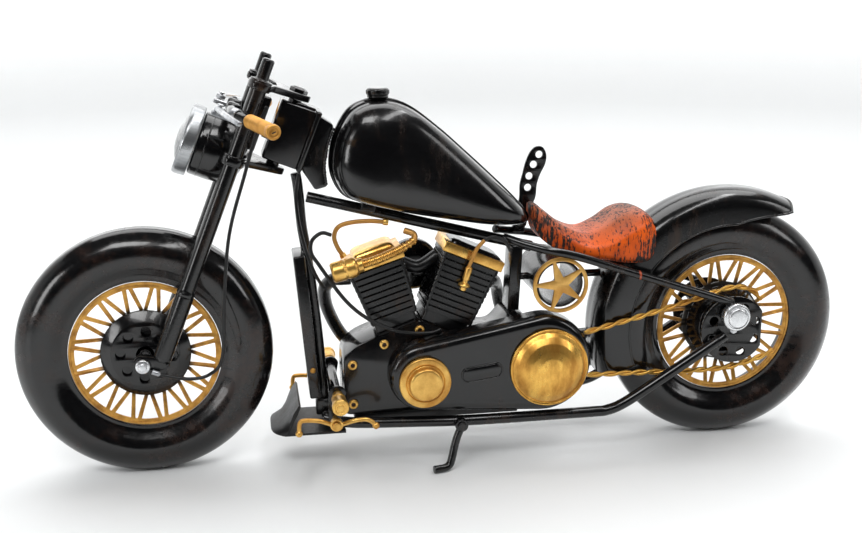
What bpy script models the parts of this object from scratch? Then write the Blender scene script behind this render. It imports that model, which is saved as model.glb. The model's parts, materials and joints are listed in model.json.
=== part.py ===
"""Display model of a black and gold V-twin bobber motorcycle, built from painted sheet, tube and wire.

Metres, +Z up. The front of the machine points along -X and its left side along -Y.
The origin is on the ground, under the middle of the wheelbase.
"""

from math import acos, atan2, cos, hypot, pi, radians, sin, sqrt

import bmesh
import bpy
from mathutils import Matrix, Vector

mm = 0.001

# Driving sizes.
gap = 0.3 * mm
wheelbase = 281.5 * mm
tyre_radius = 58.5 * mm
spoke_ring_band = 0.04615 * tyre_radius
spoke_sheet = 1.2 * mm
spoke_width = 0.02222 * tyre_radius
spoke_pairs = 16
drum_clearance = 0.8 * mm
hub_barrel_radius = 9.0 * mm
axle_radius = 1.9 * mm
running_clearance = 0.4 * mm

rake = radians(21.8)
head_x = -73.0 * mm
head_z = 160.0 * mm
head_bottom = -15.0 * mm
head_top = 12.7 * mm
stem_radius = 3.0 * mm
leg_offset = 18.1 * mm
leg_spread = 21.0 * mm
leg_radius = 3.6 * mm
slider_radius = 4.2 * mm
clamp_thickness = 3.0 * mm
lug_thickness = 4.0 * mm
lamp_radius = 14.6 * mm
lamp_height = -19.2 * mm
bar_radius = 2.2 * mm
grip_radius = 3.3 * mm

frame_tube = 2.6 * mm
stay_tube = 2.0 * mm
rail_spread = 21.5 * mm
rail_height = 21.5 * mm
case_half_width = 14.0 * mm
cover_depth = 11.5 * mm
cylinder_half_width = 12.0 * mm
fin_pitch = 2.95 * mm
fin_depth = 1.4 * mm
tank_half_width = 19.5 * mm
fender_half_width = 14.2 * mm
fender_radius = 68.0 * mm
fender_skirt = 12.0 * mm
fender_sheet = 0.8 * mm
seat_half_width = 18.6 * mm
chain_radius = 1.5 * mm
axle_plate_radius = 16.7 * mm
axle_plate_cut = 14.2 * mm
axle_plate_sheet = 1.4 * mm
peg_bar_x = -54.0 * mm
peg_bar_z = 38.5 * mm
peg_bar_radius = 2.0 * mm
stand_pivot_x = 3.7 * mm
stand_radius = 1.9 * mm

# Sizes that follow from the driving ones.
front_axle_x = -wheelbase / 2
rear_axle_x = wheelbase / 2
axle_z = tyre_radius
tyre_section = 0.18803 * tyre_radius
tread_half_width = 0.05128 * tyre_radius
bead_radius = 0.6359 * tyre_radius
spoke_ring_radius = 0.58974 * tyre_radius
spoke_hub_radius = 0.34188 * tyre_radius
drum_radius = 0.35214 * tyre_radius
drum_face_radius = 0.26667 * tyre_radius
ring_plane = 0.10598 * tyre_radius
dish_plane = 0.03761 * tyre_radius
section_centre = tyre_radius - tyre_section
hub_bore = axle_radius + running_clearance
stem_bore = stem_radius + running_clearance
case_face = case_half_width + gap
cover_face = case_face + cover_depth
plate_outer = rail_spread - frame_tube + 0.5 * mm
chain_spread = rail_spread - 4.5 * mm
can_half = 0.5 * rail_spread + 7.85 * mm
pipe_spread = rail_spread + 9.0 * mm
wheel_segments = 36

head_frame = Matrix.Translation((head_x, 0, head_z)) @ Matrix.Rotation(rake, 4, 'Y')


def clear_scene():
    for thing in list(bpy.data.objects):
        bpy.data.objects.remove(thing, do_unlink=True)


def paint(name, color, roughness, metallic):
    """Make a Principled material."""
    material = bpy.data.materials.new(name)
    material.use_nodes = True
    shader = material.node_tree.nodes['Principled BSDF']
    shader.inputs['Base Color'].default_value = (*color, 1)
    shader.inputs['Roughness'].default_value = roughness
    shader.inputs['Metallic'].default_value = metallic
    return material


def finish(name, mesh, material, matrix=None, parent=None, crease=35):
    """Put a mesh in the scene as a named, smooth shaded object."""
    mesh.shade_smooth()
    mesh.set_sharp_from_angle(angle=radians(crease))
    mesh.materials.clear()
    mesh.materials.append(material)
    thing = bpy.data.objects.new(name, mesh)
    bpy.context.scene.collection.objects.link(thing)
    thing.parent = parent
    thing.matrix_basis = matrix or Matrix.Identity(4)
    return thing


def mesh_from(bm, name):
    """Close off a bmesh: weld, point the faces outwards and hand over the mesh."""
    bmesh.ops.remove_doubles(bm, verts=bm.verts, dist=0.000001)
    bmesh.ops.recalc_face_normals(bm, faces=bm.faces)
    if bm.calc_volume(signed=True) < 0:
        bmesh.ops.reverse_faces(bm, faces=bm.faces)
    mesh = bpy.data.meshes.new(name)
    bm.to_mesh(mesh)
    bm.free()
    return mesh


def smooth_route(points, steps):
    """Points along a Catmull-Rom curve through the given ones."""
    knots = [Vector(point) for point in points]
    padded = [knots[0] * 2 - knots[1], *knots, knots[-1] * 2 - knots[-2]]
    route = []
    for before, start, end, after in zip(padded, padded[1:], padded[2:], padded[3:]):
        for step in range(steps):
            t = step / steps
            route.append(0.5 * (2 * start + (end - before) * t
                                + (2 * before - 5 * start + 4 * end - after) * t ** 2
                                + (3 * start - before - 3 * end + after) * t ** 3))
    route.append(knots[-1])
    return route


def tube_mesh(name, points, radius, resolution=2):
    """A round bar along the points, as a mesh with closed ends."""
    curve = bpy.data.curves.new(name, 'CURVE')
    curve.dimensions = '3D'
    spline = curve.splines.new('POLY')
    spline.points.add(len(points) - 1)
    for target, point in zip(spline.points, points):
        target.co = (*point, 1)
    curve.bevel_depth = radius
    curve.bevel_resolution = resolution
    curve.use_fill_caps = True
    carrier = bpy.data.objects.new(name, curve)
    bm = bmesh.new()
    bm.from_mesh(carrier.to_mesh())
    carrier.to_mesh_clear()
    bpy.data.objects.remove(carrier)
    bpy.data.curves.remove(curve)
    return mesh_from(bm, name)


def tube(name, points, radius, material, matrix=None, parent=None, steps=4, resolution=2):
    """A round bar that follows a smooth route."""
    route = smooth_route(points, steps) if len(points) > 2 else [Vector(point) for point in points]
    return finish(name, tube_mesh(name, route, radius, resolution), material, matrix, parent)


def turned_mesh(name, profile, segments, ring=False, phase=0.5):
    """Turn a profile of (radius, height) about Z; a ring profile closes on itself."""
    bm = bmesh.new()
    rows = []
    for radius, height in profile:
        if radius <= 0:
            rows.append([bm.verts.new((0, 0, height))])
            continue
        angles = [2 * pi * (index + phase) / segments for index in range(segments)]
        rows.append([bm.verts.new((radius * cos(a), radius * sin(a), height)) for a in angles])
    pairs = list(zip(rows, rows[1:]))
    if ring:
        pairs.append((rows[-1], rows[0]))
    for low, high in pairs:
        for index in range(segments):
            after = (index + 1) % segments
            corners = [low[index % len(low)], low[after % len(low)],
                       high[after % len(high)], high[index % len(high)]]
            unique = list(dict.fromkeys(corners))
            bm.faces.new(unique)
    if not ring:
        for row in (rows[0], rows[-1]):
            if len(row) > 1:
                bm.faces.new(row)
    return mesh_from(bm, name)


def turned(name, profile, material, matrix=None, parent=None, segments=24, ring=False):
    return finish(name, turned_mesh(name, profile, segments, ring), material, matrix, parent)


def prism_mesh(name, outline, low, high):
    """Extrude an outline in X and Z along Y."""
    bm = bmesh.new()
    near = [bm.verts.new((x, low, z)) for x, z in outline]
    bm.faces.new(near)
    grown = bmesh.ops.extrude_face_region(bm, geom=bm.faces[:])
    moved = [item for item in grown['geom'] if isinstance(item, bmesh.types.BMVert)]
    bmesh.ops.translate(bm, verts=moved, vec=(0, high - low, 0))
    return mesh_from(bm, name)


def prism(name, outline, low, high, material, matrix=None, parent=None):
    return finish(name, prism_mesh(name, outline, low, high), material, matrix, parent, 30)


def plate_mesh(name, outline, holes, thickness):
    """A flat plate in X and Y, centred on Z = 0, with holes."""
    curve = bpy.data.curves.new(name, 'CURVE')
    curve.dimensions = '2D'
    curve.fill_mode = 'BOTH'
    curve.extrude = thickness / 2
    for loop in [outline, *holes]:
        spline = curve.splines.new('POLY')
        spline.points.add(len(loop) - 1)
        for target, (x, y) in zip(spline.points, loop):
            target.co = (x, y, 0, 1)
        spline.use_cyclic_u = True
    carrier = bpy.data.objects.new(name, curve)
    bm = bmesh.new()
    bm.from_mesh(carrier.to_mesh())
    carrier.to_mesh_clear()
    bpy.data.objects.remove(carrier)
    bpy.data.curves.remove(curve)
    return mesh_from(bm, name)


def loft_mesh(name, rings):
    """Skin a row of closed rings and cap both ends."""
    bm = bmesh.new()
    rows = [[bm.verts.new(point) for point in ring] for ring in rings]
    for low, high in zip(rows, rows[1:]):
        for index, corner in enumerate(low):
            after = (index + 1) % len(low)
            bm.faces.new((corner, low[after], high[after], high[index]))
    bm.faces.new(rows[0])
    bm.faces.new(rows[-1])
    return mesh_from(bm, name)


def box_mesh(name, size, bevel=0.0):
    bm = bmesh.new()
    bmesh.ops.create_cube(bm, size=1)
    bmesh.ops.scale(bm, vec=size, verts=bm.verts)
    if bevel:
        bmesh.ops.bevel(bm, geom=bm.edges[:], offset=bevel, segments=1, affect='EDGES')
    return mesh_from(bm, name)


def box(name, size, place, material, matrix=None, parent=None, turn=0.0, bevel=0.0):
    """A box whose centre is at place, tilted about Y."""
    local = Matrix.Translation(place) @ Matrix.Rotation(turn, 4, 'Y')
    return finish(name, box_mesh(name, size, bevel), material, (matrix or Matrix.Identity(4)) @ local, parent)


def combine(target, meshes, operation):
    """Boolean each mesh, given in the target's own frame, with the target and keep the result."""
    for index, mesh in enumerate(meshes):
        tool = bpy.data.objects.new(f'{target.name}_tool_{index}', mesh)
        bpy.context.scene.collection.objects.link(tool)
        tool.hide_render = True
        tool.display_type = 'WIRE'
        bpy.context.view_layer.update()
        tool.matrix_world = target.matrix_world
        modifier = target.modifiers.new('combine', 'BOOLEAN')
        modifier.operation = operation
        modifier.solver = 'EXACT'
        modifier.object = tool
        bpy.context.view_layer.update()
        evaluated = target.evaluated_get(bpy.context.evaluated_depsgraph_get())
        bm = bmesh.new()
        bm.from_mesh(evaluated.to_mesh())
        evaluated.to_mesh_clear()
        target.modifiers.remove(modifier)
        bpy.data.objects.remove(tool)
        bmesh.ops.remove_doubles(bm, verts=bm.verts, dist=0.000001)
        bmesh.ops.dissolve_degenerate(bm, edges=bm.edges, dist=0.000001)
        bm.to_mesh(target.data)
        bm.free()
    target.data.shade_smooth()
    target.data.set_sharp_from_angle(angle=radians(35))


def weld(target, mesh, place=None):
    """Join a mesh, given in the frame called place, to the target as one body."""
    bpy.context.view_layer.update()
    mesh.transform(target.matrix_world.inverted() @ (place or Matrix.Identity(4)))
    combine(target, [mesh], 'UNION')


def circle(radius, count, centre=(0, 0), phase=0.0):
    angles = [2 * pi * (index + phase) / count for index in range(count)]
    return [(centre[0] + radius * cos(a), centre[1] + radius * sin(a)) for a in angles]


def aim(start, end):
    """A matrix at start whose Z axis points at end."""
    direction = Vector(end) - Vector(start)
    return Matrix.Translation(start) @ direction.to_track_quat('Z', 'Y').to_matrix().to_4x4()


def pivot(name, place):
    """An empty on a joint axis."""
    empty = bpy.data.objects.new(name, None)
    bpy.context.scene.collection.objects.link(empty)
    empty.matrix_world = place
    bpy.context.view_layer.update()
    return empty


def left_axis(x, y, z):
    """A matrix at a point whose Z axis points to the left side of the machine."""
    return Matrix.Translation((x, y, z)) @ Matrix.Rotation(radians(90), 4, 'X')


clear_scene()

black = paint('gloss_black', (0.012, 0.012, 0.013), 0.22, 0.0)
satin = paint('satin_black', (0.020, 0.020, 0.022), 0.38, 0.0)
gold = paint('gold_paint', (0.62, 0.36, 0.08), 0.32, 0.9)
silver = paint('silver_paint', (0.62, 0.63, 0.64), 0.25, 0.9)
tyre_black = paint('tyre_paint', (0.016, 0.013, 0.012), 0.3, 0.0)
glass = paint('lens_paint', (0.5, 0.5, 0.5), 0.15, 0.4)
leather = paint('seat_paint', (0.78, 0.17, 0.02), 0.45, 0.0)
cable = paint('cable_black', (0.015, 0.015, 0.015), 0.4, 0.0)


# Wheels.

def spoke_disc(name, parent):
    """A sheet disc whose windows leave a zigzag of spokes, dished towards the hub."""
    outer = spoke_ring_radius - spoke_ring_band
    inner = spoke_hub_radius
    reach = outer - inner
    step = pi / spoke_pairs
    windows = []
    for index in range(2 * spoke_pairs):
        middle = index * step
        outward = index % 2 == 0
        base, tip = (outer, inner) if outward else (inner, outer)
        toward = 1 if outward else -1
        trim = spoke_width / (2 * base)
        half = step - trim
        point = tip + toward * spoke_width / (2 * sin(atan2(base * step, reach)))
        corners = [(base, middle - half), (base, middle + half), (point, middle)]
        windows.append([(r * cos(a), r * sin(a)) for r, a in corners])
    mesh = plate_mesh(name, circle(spoke_ring_radius, wheel_segments, phase=0.5),
                      [circle(hub_barrel_radius + 2 * gap, 18), *windows], spoke_sheet)
    for vertex in mesh.vertices:
        radius = hypot(vertex.co.x, vertex.co.y)
        fall = min(max((outer - radius) / reach, 0), 1)
        vertex.co.z += ring_plane + fall * (dish_plane - ring_plane)
    return finish(name, mesh, gold, parent=parent)


def tyre(name, parent):
    """A pressed tyre with a flat tread and, inside its left edge, the lip that holds the spoke disc."""
    true = 1 / cos(pi / wheel_segments)
    sweep = [radians(a) for a in (42, 80, 118, 142)]
    side = [(section_centre + tyre_section * cos(a), tyre_section * sin(a)) for a in sweep]
    near = ring_plane + spoke_sheet / 2
    lip = spoke_ring_radius + gap
    left = [(tyre_radius, tread_half_width), *side, (bead_radius, near + 0.2 * mm), (lip, near),
            (lip, ring_plane - 1.6 * mm), (bead_radius, ring_plane - 3.2 * mm)]
    right = [(bead_radius, -5.8 * mm), *[(r, -z) for r, z in reversed(side)],
             (tyre_radius, -tread_half_width)]
    profile = left + right
    mesh = turned_mesh(name, [(r * true, z) for r, z in profile], wheel_segments, ring=True)
    return finish(name, mesh, tyre_black, parent=parent)


def hub(name, parent, near, rim_radius, face_radius, far):
    """A dished drum on the left and a barrel through the spoke disc."""
    flange = dish_plane + spoke_sheet / 2 + drum_clearance
    back = dish_plane - spoke_sheet / 2 - gap
    disc = 0.265 * tyre_radius
    disc_back = back - 1.2 * mm
    profile = [(hub_bore, near), (face_radius, near), (rim_radius, flange + 1.4 * mm), (rim_radius, flange),
               (hub_barrel_radius, flange), (hub_barrel_radius, back), (disc, back),
               (disc, disc_back), (7.0 * mm, disc_back), (6.5 * mm, -far), (hub_bore, -far)]
    return finish(name, turned_mesh(name, profile, 24, ring=True), satin, parent=parent)


def wheel(side, x):
    """All pieces of one wheel, about an empty on its axle."""
    axis = pivot(f'{side}_wheel_axis', left_axis(x, 0, axle_z))
    tyre(f'{side}_tyre', axis)
    spoke_disc(f'{side}_spoke_disc', axis)
    if side == 'front':
        hub('front_drum', axis, 8.2 * mm, drum_radius, drum_face_radius, 10.5 * mm)
    else:
        hub('rear_drum', axis, 12.5 * mm, 0.908 * drum_radius, 0.9615 * drum_face_radius, 14.5 * mm)


wheel('front', front_axle_x)
wheel('rear', rear_axle_x)


# Steering: everything is set out in the head frame, with Z up the stem and -X to the front.

steering = pivot('steering_axis', head_frame)
axle_in_head = head_frame.inverted() @ Vector((front_axle_x, 0, axle_z))
clamp_low = head_bottom - 1.5 * mm - 2 * gap
clamp_high = head_top + 1.5 * mm + 2 * gap
slider_top = -80.6 * mm
lug_top = axle_in_head.z + 5.2 * mm
leg_top = clamp_high + clamp_thickness


def clamp_outline(rear):
    """A yoke seen from above: an eye for each leg, cut back between them for the lamp."""
    eye = 5.2 * mm
    inner = lamp_radius + 0.8 * mm
    right = [(-10.4 * mm, 7.0 * mm), (-12.6 * mm, 11.6 * mm), (-15.8 * mm, inner),
             (-leg_offset - eye, inner + 0.8 * mm),
             (-leg_offset - eye, leg_spread + 2.0 * mm), (-leg_offset - 3.0 * mm, leg_spread + eye),
             (-leg_offset + 3.0 * mm, leg_spread + eye), (-leg_offset + eye, leg_spread + 2.0 * mm),
             (-leg_offset + eye + 0.8 * mm, leg_spread - 3.0 * mm), (rear * 0.4, rear), (rear, rear * 0.4)]
    left = [(x, -y) for x, y in reversed(right)]
    return right + left


def clamp(name, low, bores):
    mesh = plate_mesh(name, clamp_outline(6.0 * mm), bores, clamp_thickness)
    place = Matrix.Translation((0, 0, low + clamp_thickness / 2))
    return finish(name, mesh, black, place, steering, 30)


leg_holes = [circle(leg_radius + gap, 16, (-leg_offset, side * leg_spread)) for side in (1, -1)]
lower_clamp = clamp('lower_clamp', clamp_low - clamp_thickness, leg_holes)
stem = [(stem_radius, clamp_low - 1 * mm), (stem_radius, clamp_high - gap)]
weld(lower_clamp, turned_mesh('stem', stem, 16), head_frame)
clamp('upper_clamp', clamp_high, leg_holes)


def fork_leg(side, sign):
    """Cap, tube and slider as one turned leg, with the axle lug welded on below."""
    y = sign * leg_spread
    place = Matrix.Translation((-leg_offset, y, 0))
    leg = turned(f'fork_leg_{side}',
                 [(leg_radius, lug_top - 1 * mm), (slider_radius, lug_top + 0.5 * mm),
                  (slider_radius, slider_top - 1.0 * mm), (leg_radius, slider_top),
                  (leg_radius, leg_top + 0.6 * mm), (2.75 * mm, leg_top + 1.2 * mm),
                  (2.75 * mm, leg_top + 9.5 * mm), (2.0 * mm, leg_top + 10.4 * mm)],
                 black, place, steering, 12)
    x, z = axle_in_head.x, axle_in_head.z
    outline = [(-leg_offset + 3.4 * mm, lug_top), (-leg_offset + 3.4 * mm, lug_top - 3 * mm),
               (x + 3.4 * mm, z - 3.6 * mm), (x, z - 4.8 * mm), (x - 3.4 * mm, z - 3.4 * mm),
               (x - 4.8 * mm, z), (x - 3.6 * mm, z + 3.6 * mm), (-leg_offset - 3.4 * mm, lug_top)]
    lug = plate_mesh('lug', outline, [circle(axle_radius + gap, 16, (x, z))], lug_thickness)
    stand = Matrix.Translation((0, y, 0)) @ Matrix.Rotation(radians(90), 4, 'X')
    weld(leg, lug, head_frame @ stand)


for side_name, side_sign in (('left', -1), ('right', 1)):
    fork_leg(side_name, side_sign)

axle_half = leg_spread + lug_thickness / 2 + gap
nut_half = [(axle_radius, axle_half), (3.2 * mm, axle_half), (3.2 * mm, axle_half + 1.8 * mm),
            (axle_radius, axle_half + 2.2 * mm), (axle_radius, axle_half + 3.4 * mm)]
turned('front_axle', [(r, -y) for r, y in reversed(nut_half)] + nut_half, silver,
       left_axis(axle_in_head.x, 0, axle_in_head.z), steering, 12)

# Headlight, on an axis square to the stem.
lamp = Matrix.Translation((0, 0, lamp_height)) @ Matrix.Rotation(radians(-90), 4, 'Y')
turned('headlight_can', [(0, 12.0 * mm), (7.0 * mm, 13.0 * mm), (12.2 * mm, 16.5 * mm),
                         (lamp_radius, 22.0 * mm), (lamp_radius, 35.2 * mm)], black, lamp, steering, 24)
turned('headlight_ring', [(13.6 * mm, 35.5 * mm), (16.1 * mm, 35.5 * mm), (16.4 * mm, 40.6 * mm),
                          (15.4 * mm, 41.8 * mm), (13.6 * mm, 41.2 * mm)], silver, lamp, steering, 24, True)
turned('headlight_lens', [(0, 35.5 * mm), (13.3 * mm, 35.5 * mm), (13.3 * mm, 39.6 * mm),
                          (9.0 * mm, 42.6 * mm), (0, 44.0 * mm)],
       glass, lamp, steering, 24)

# Handlebar, grips and hand levers.
bar_half = [(-25.6 * mm, 0, 1.2 * mm), (-25.6 * mm, leg_spread - 4 * mm, 1.2 * mm),
            (-24.0 * mm, leg_spread + 4 * mm, 1.0 * mm), (-18.8 * mm, leg_spread + 10 * mm, 1.2 * mm)]
grip_start = Vector((-18.0 * mm, leg_spread + 11.5 * mm, 1.4 * mm))
grip_end = Vector((-8.2 * mm, leg_spread + 39.0 * mm, 3.4 * mm))
handlebar = tube('handlebar', [(x, -y, z) for x, y, z in reversed(bar_half)] + bar_half[1:], bar_radius,
                 black, parent=steering, steps=2)
lever_pivot = Vector((-31.0 * mm, leg_spread + 6.0 * mm, 1.2 * mm))
for side_name, side_sign in (('left', -1), ('right', 1)):
    flip = Matrix.Diagonal((1, side_sign, 1, 1))
    start, end = flip @ grip_start, flip @ grip_end
    length = (end - start).length
    sleeve = [(grip_radius - 0.6 * mm, 0), (grip_radius, 1.2 * mm), (grip_radius, length - 1.2 * mm),
              (grip_radius - 0.5 * mm, length)]
    turned(f'grip_{side_name}', sleeve, gold, aim(start, end), steering, 12)
    hinge_place = flip @ lever_pivot
    axis = pivot(f'lever_axis_{side_name}', head_frame @ Matrix.Translation(hinge_place))
    perch_place = hinge_place + Vector((1.7 * mm, -side_sign * 2.0 * mm, -2.5 * mm))
    weld(handlebar, box_mesh('perch', (9.0 * mm, 4.0 * mm, 2.4 * mm), 0.4 * mm),
         head_frame @ Matrix.Translation(perch_place))
    pin = [(0.8 * mm, -2.4 * mm), (0.8 * mm, 1.5 * mm), (1.5 * mm, 1.5 * mm), (1.5 * mm, 2.2 * mm)]
    weld(handlebar, turned_mesh('pin', pin, 10), head_frame @ Matrix.Translation(hinge_place))
    blade = [(2.2 * mm, -2.4 * mm), (2.4 * mm, 0.8 * mm), (1.6 * mm, 3.0 * mm), (4.2 * mm, 14 * mm),
             (9.6 * mm, 26 * mm), (8.6 * mm, 27.2 * mm), (6.9 * mm, 26.6 * mm), (1.4 * mm, 14.2 * mm),
             (-2.2 * mm, 2.4 * mm), (-2.2 * mm, -1.6 * mm)]
    outline = [(x, side_sign * y) for x, y in blade]
    mesh = plate_mesh(f'hand_lever_{side_name}', outline, [circle(1.1 * mm, 10)], 2.0 * mm)
    finish(f'hand_lever_{side_name}', mesh, silver, parent=axis)

# The brake cable stays on the fork from the clamp to the axle.
cable_y = -(leg_spread + 3.2 * mm)
brake_upper = [(-12.5, -0.4, 9), (-13.0, -1.2, -2), (-11.6, -0.4, -22), (-9.0, 0, -50), (-1.0, 0, -80)]
brake_turn = [(24.6, 10.2), (22.1, 0.7), (14.1, -4.3)]
brake_end = [(9.2, -1.1), (3.6, -1.0)]
brake_route = [(x * mm, cable_y + y * mm, z * mm) for x, y, z in brake_upper]
brake_route += [(-leg_offset + x * mm, cable_y, lug_top + z * mm) for x, z in brake_turn]
brake_route += [(axle_in_head.x + x * mm, cable_y, axle_in_head.z + z * mm) for x, z in brake_end]
tube('front_brake_cable', brake_route, 0.8 * mm, cable, parent=steering, steps=2)


# Frame.

neck_half = 8.0 * mm
neck = box('neck_housing', (16.8 * mm, 2 * neck_half, head_top - head_bottom),
           (2.2 * mm, 0, (head_top + head_bottom) / 2), black, head_frame, bevel=0.8 * mm)
bore = turned_mesh('bore', [(stem_bore, head_bottom - 2 * mm), (stem_bore, head_top + 2 * mm)], 20)
bore.transform(Matrix.Translation((-2.2 * mm, 0, -(head_top + head_bottom) / 2)))
combine(neck, [bore], 'DIFFERENCE')
collar_x = 10.6 * mm
weld(neck, box_mesh('collar', (2.4 * mm, 19.0 * mm, 29.0 * mm)),
     head_frame @ Matrix.Translation((collar_x + 0.8 * mm, 0, -1.0 * mm)))


def in_head(x, z):
    """World X and Z of a point given in the head frame."""
    point = head_frame @ Vector((x, 0, z))
    return point.x, point.z


collar_back = collar_x + 1.0 * mm
gusset = [in_head(collar_back, 11.5 * mm), (-51.2 * mm, 162.0 * mm), (-54.0 * mm, 153.0 * mm),
          (-55.6 * mm, 143.0 * mm), (-54.6 * mm, 133.5 * mm), (-60.5 * mm, 132.0 * mm),
          in_head(collar_back, -13.5 * mm)]
weld(neck, prism_mesh('gusset', gusset, -5 * mm, 5 * mm))

down_route = [(-69.0, 139.8), (-68.2, 134), (-67.6, 126), (-66.9, 115), (-65.0, 101), (-61.5, 69),
              (-58.8, 30)]
down_tube = tube('down_tube', [(x * mm, 0, z * mm) for x, z in down_route], 2.4 * mm, black, steps=1)
backbone = tube('backbone_tube', [(-64.3 * mm, 0, 128.4 * mm), (43.0 * mm, 0, 100.3 * mm)], frame_tube, black,
     resolution=3)
weld(down_tube, box_mesh('plate', (5.4 * mm, 20 * mm, 70 * mm), 0.5 * mm),
     Matrix.Translation((-66.2 * mm, 0, 67.6 * mm)) @ Matrix.Rotation(radians(-4.8), 4, 'Y'))
foot_x = -58.5 * mm
weld(down_tube, box_mesh('lug', (9 * mm, 8 * mm, 8 * mm), 0.6 * mm), Matrix.Translation((foot_x, 0, 26 * mm)))
weld(down_tube, box_mesh('bar', (4 * mm, 11.4 * mm, 4 * mm)), Matrix.Translation((foot_x, 0, 22.4 * mm)))

rail_front = [(-60, 8.5, 22.5), (-54, 11, 21.5), (-44, 15.5, 21.5), (-20, 18.6, 21.5)]
rail_rear = [(-64.75 * mm, 21.8 * mm), (-53.75 * mm, 25.5 * mm), (-28.75 * mm, axle_z - 17 * mm),
             (-5.25 * mm, axle_z - 2 * mm)]
rail_route = [(x * mm, y * mm, z * mm) for x, y, z in rail_front]
rail_route += [(x, rail_spread, rail_height) for x in (10 * mm, 50 * mm)]
rail_route += [(rear_axle_x + x, rail_spread, z) for x, z in rail_rear]
stay_front = [(27, 9.5, 107.5), (36, 15.5, 105), (47, 20.8, 102.6)]
stay_route = [(x * mm, y * mm, z * mm) for x, y, z in stay_front]
stay_route += [(60 * mm, rail_spread, 99.5 * mm), (rear_axle_x - 2.55 * mm, rail_spread, axle_z + 14.5 * mm)]
weld(backbone, box_mesh('post', (5.6 * mm, 13 * mm, 32 * mm)),
     Matrix.Translation((33.8 * mm, 0, 86.3 * mm)) @ Matrix.Rotation(radians(3.0), 4, 'Y'))


def axle_plate_outline():
    """A disc with a flat cut along its rear edge."""
    start = acos(axle_plate_cut / axle_plate_radius)
    count = 20
    turn = (2 * pi - 2 * start) / count
    return [(axle_plate_radius * cos(start + turn * index), axle_plate_radius * sin(start + turn * index))
            for index in range(count + 1)]


def side_frame(side, sign):
    """Lower rail with the axle plate welded inside its end, and the stay above it."""
    rail = tube(f'lower_rail_{side}', [(x, sign * y, z) for x, y, z in rail_route], frame_tube, black,
                steps=1)
    plate = plate_mesh('plate', axle_plate_outline(), [circle(axle_radius + gap, 12)],
                       axle_plate_sheet)
    place = Matrix.Translation((rear_axle_x, sign * (plate_outer - axle_plate_sheet / 2), axle_z))
    weld(rail, plate, place @ Matrix.Rotation(radians(90), 4, 'X'))
    stay = tube(f'seat_stay_{side}', [(x, sign * y, z) for x, y, z in stay_route], stay_tube, black,
                steps=1)
    cap = [(6.2 * mm, 0), (6.2 * mm, 3.4 * mm), (6.7 * mm, 3.4 * mm), (6.9 * mm, 4.4 * mm),
           (6.3 * mm, 5.2 * mm), (4.9 * mm, 5.4 * mm), (4.7 * mm, 6.4 * mm), (0, 6.8 * mm)]
    outward = left_axis(rear_axle_x - 1.55 * mm, sign * (rail_spread - 0.6 * mm), axle_z + 8.1 * mm)
    if sign > 0:
        outward = outward @ Matrix.Rotation(pi, 4, 'X')
    weld(stay, turned_mesh('cap', cap, 14), outward)
    return rail, stay


left_rail, left_stay = side_frame('left', -1)
right_rail, right_stay = side_frame('right', 1)
turned('rear_axle', [(axle_radius, -plate_outer), (axle_radius, plate_outer)], silver,
       left_axis(rear_axle_x, 0, axle_z), None, 16)

# Engine.

case_points = [(-50, 25), (-50, 53), (-44, 59), (-37, 62.1), (-14, 70.3), (3, 62), (24, 62), (30.4, 69.4),
               (37.5, 69.4), (44, 60), (46, 34), (40, 25)]
case_outline = [(x * mm, z * mm) for x, z in case_points]
prism('crankcase', case_outline, -case_half_width, case_half_width, satin)


def two_circle_outline(front, front_radius, rear, rear_radius, count=10):
    """The belt around two circles, in X and Z."""
    dx, dz = rear[0] - front[0], rear[1] - front[1]
    spread = acos((front_radius - rear_radius) / hypot(dx, dz))
    tilt = atan2(dz, dx)
    outline = []
    for index in range(count + 1):
        angle = tilt + spread + (2 * pi - 2 * spread) * index / count
        outline.append((front[0] + front_radius * cos(angle), front[1] + front_radius * sin(angle)))
    for index in range(count + 1):
        angle = tilt - spread + 2 * spread * index / count
        outline.append((rear[0] + rear_radius * cos(angle), rear[1] + rear_radius * sin(angle)))
    return outline


cover_front = (-13.4 * mm, 45.2 * mm)
cover_rear = (43.6 * mm, 48.7 * mm)
steps_out = [(0.0, 0.0), (0.72, 0.0), (0.92, 1.4 * mm), (1.0, 3.4 * mm)]
rings = []
for share, inset in steps_out:
    y = -(case_face + share * cover_depth)
    belt = two_circle_outline(cover_front, 16.4 * mm - inset, cover_rear, 23.6 * mm - inset)
    rings.append([(x, y, z) for x, z in belt])
finish('primary_cover', loft_mesh('primary_cover', rings), black)

turned('front_hub_cover', [(12.3 * mm, 0), (12.3 * mm, 1.4 * mm), (11.2 * mm, 2.2 * mm), (8.4 * mm, 2.4 * mm),
                           (8.0 * mm, 4.4 * mm), (7.0 * mm, 5.2 * mm), (0, 5.4 * mm)], gold,
       left_axis(-13.4 * mm, -(cover_face + gap), 43.6 * mm), None, 20)
turned('rear_dome_cover', [(18.9 * mm, 0), (18.9 * mm, 1.4 * mm), (16.6 * mm, 2.2 * mm),
                           (12.5 * mm, 5.2 * mm), (6.0 * mm, 6.7 * mm), (0, 7.0 * mm)],
       gold, left_axis(46.0 * mm, -(cover_face + gap), 47.4 * mm), None, 24)

turned('timing_cover', [(16 * mm, 0), (16 * mm, 2.2 * mm), (14.5 * mm, 3.4 * mm), (7 * mm, 3.6 * mm),
                        (6.4 * mm, 5.0 * mm), (0, 5.2 * mm)], gold,
       left_axis(-8 * mm, case_face, 47 * mm) @ Matrix.Rotation(pi, 4, 'X'), None, 20)


def eight_sided(x, y, corner, z):
    """A rectangle with cut corners at the height z."""
    return [(x, y - corner, z), (x - corner, y, z), (-x + corner, y, z), (-x, y - corner, z),
            (-x, -y + corner, z), (-x + corner, -y, z), (x - corner, -y, z), (x, -y + corner, z)]


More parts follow.
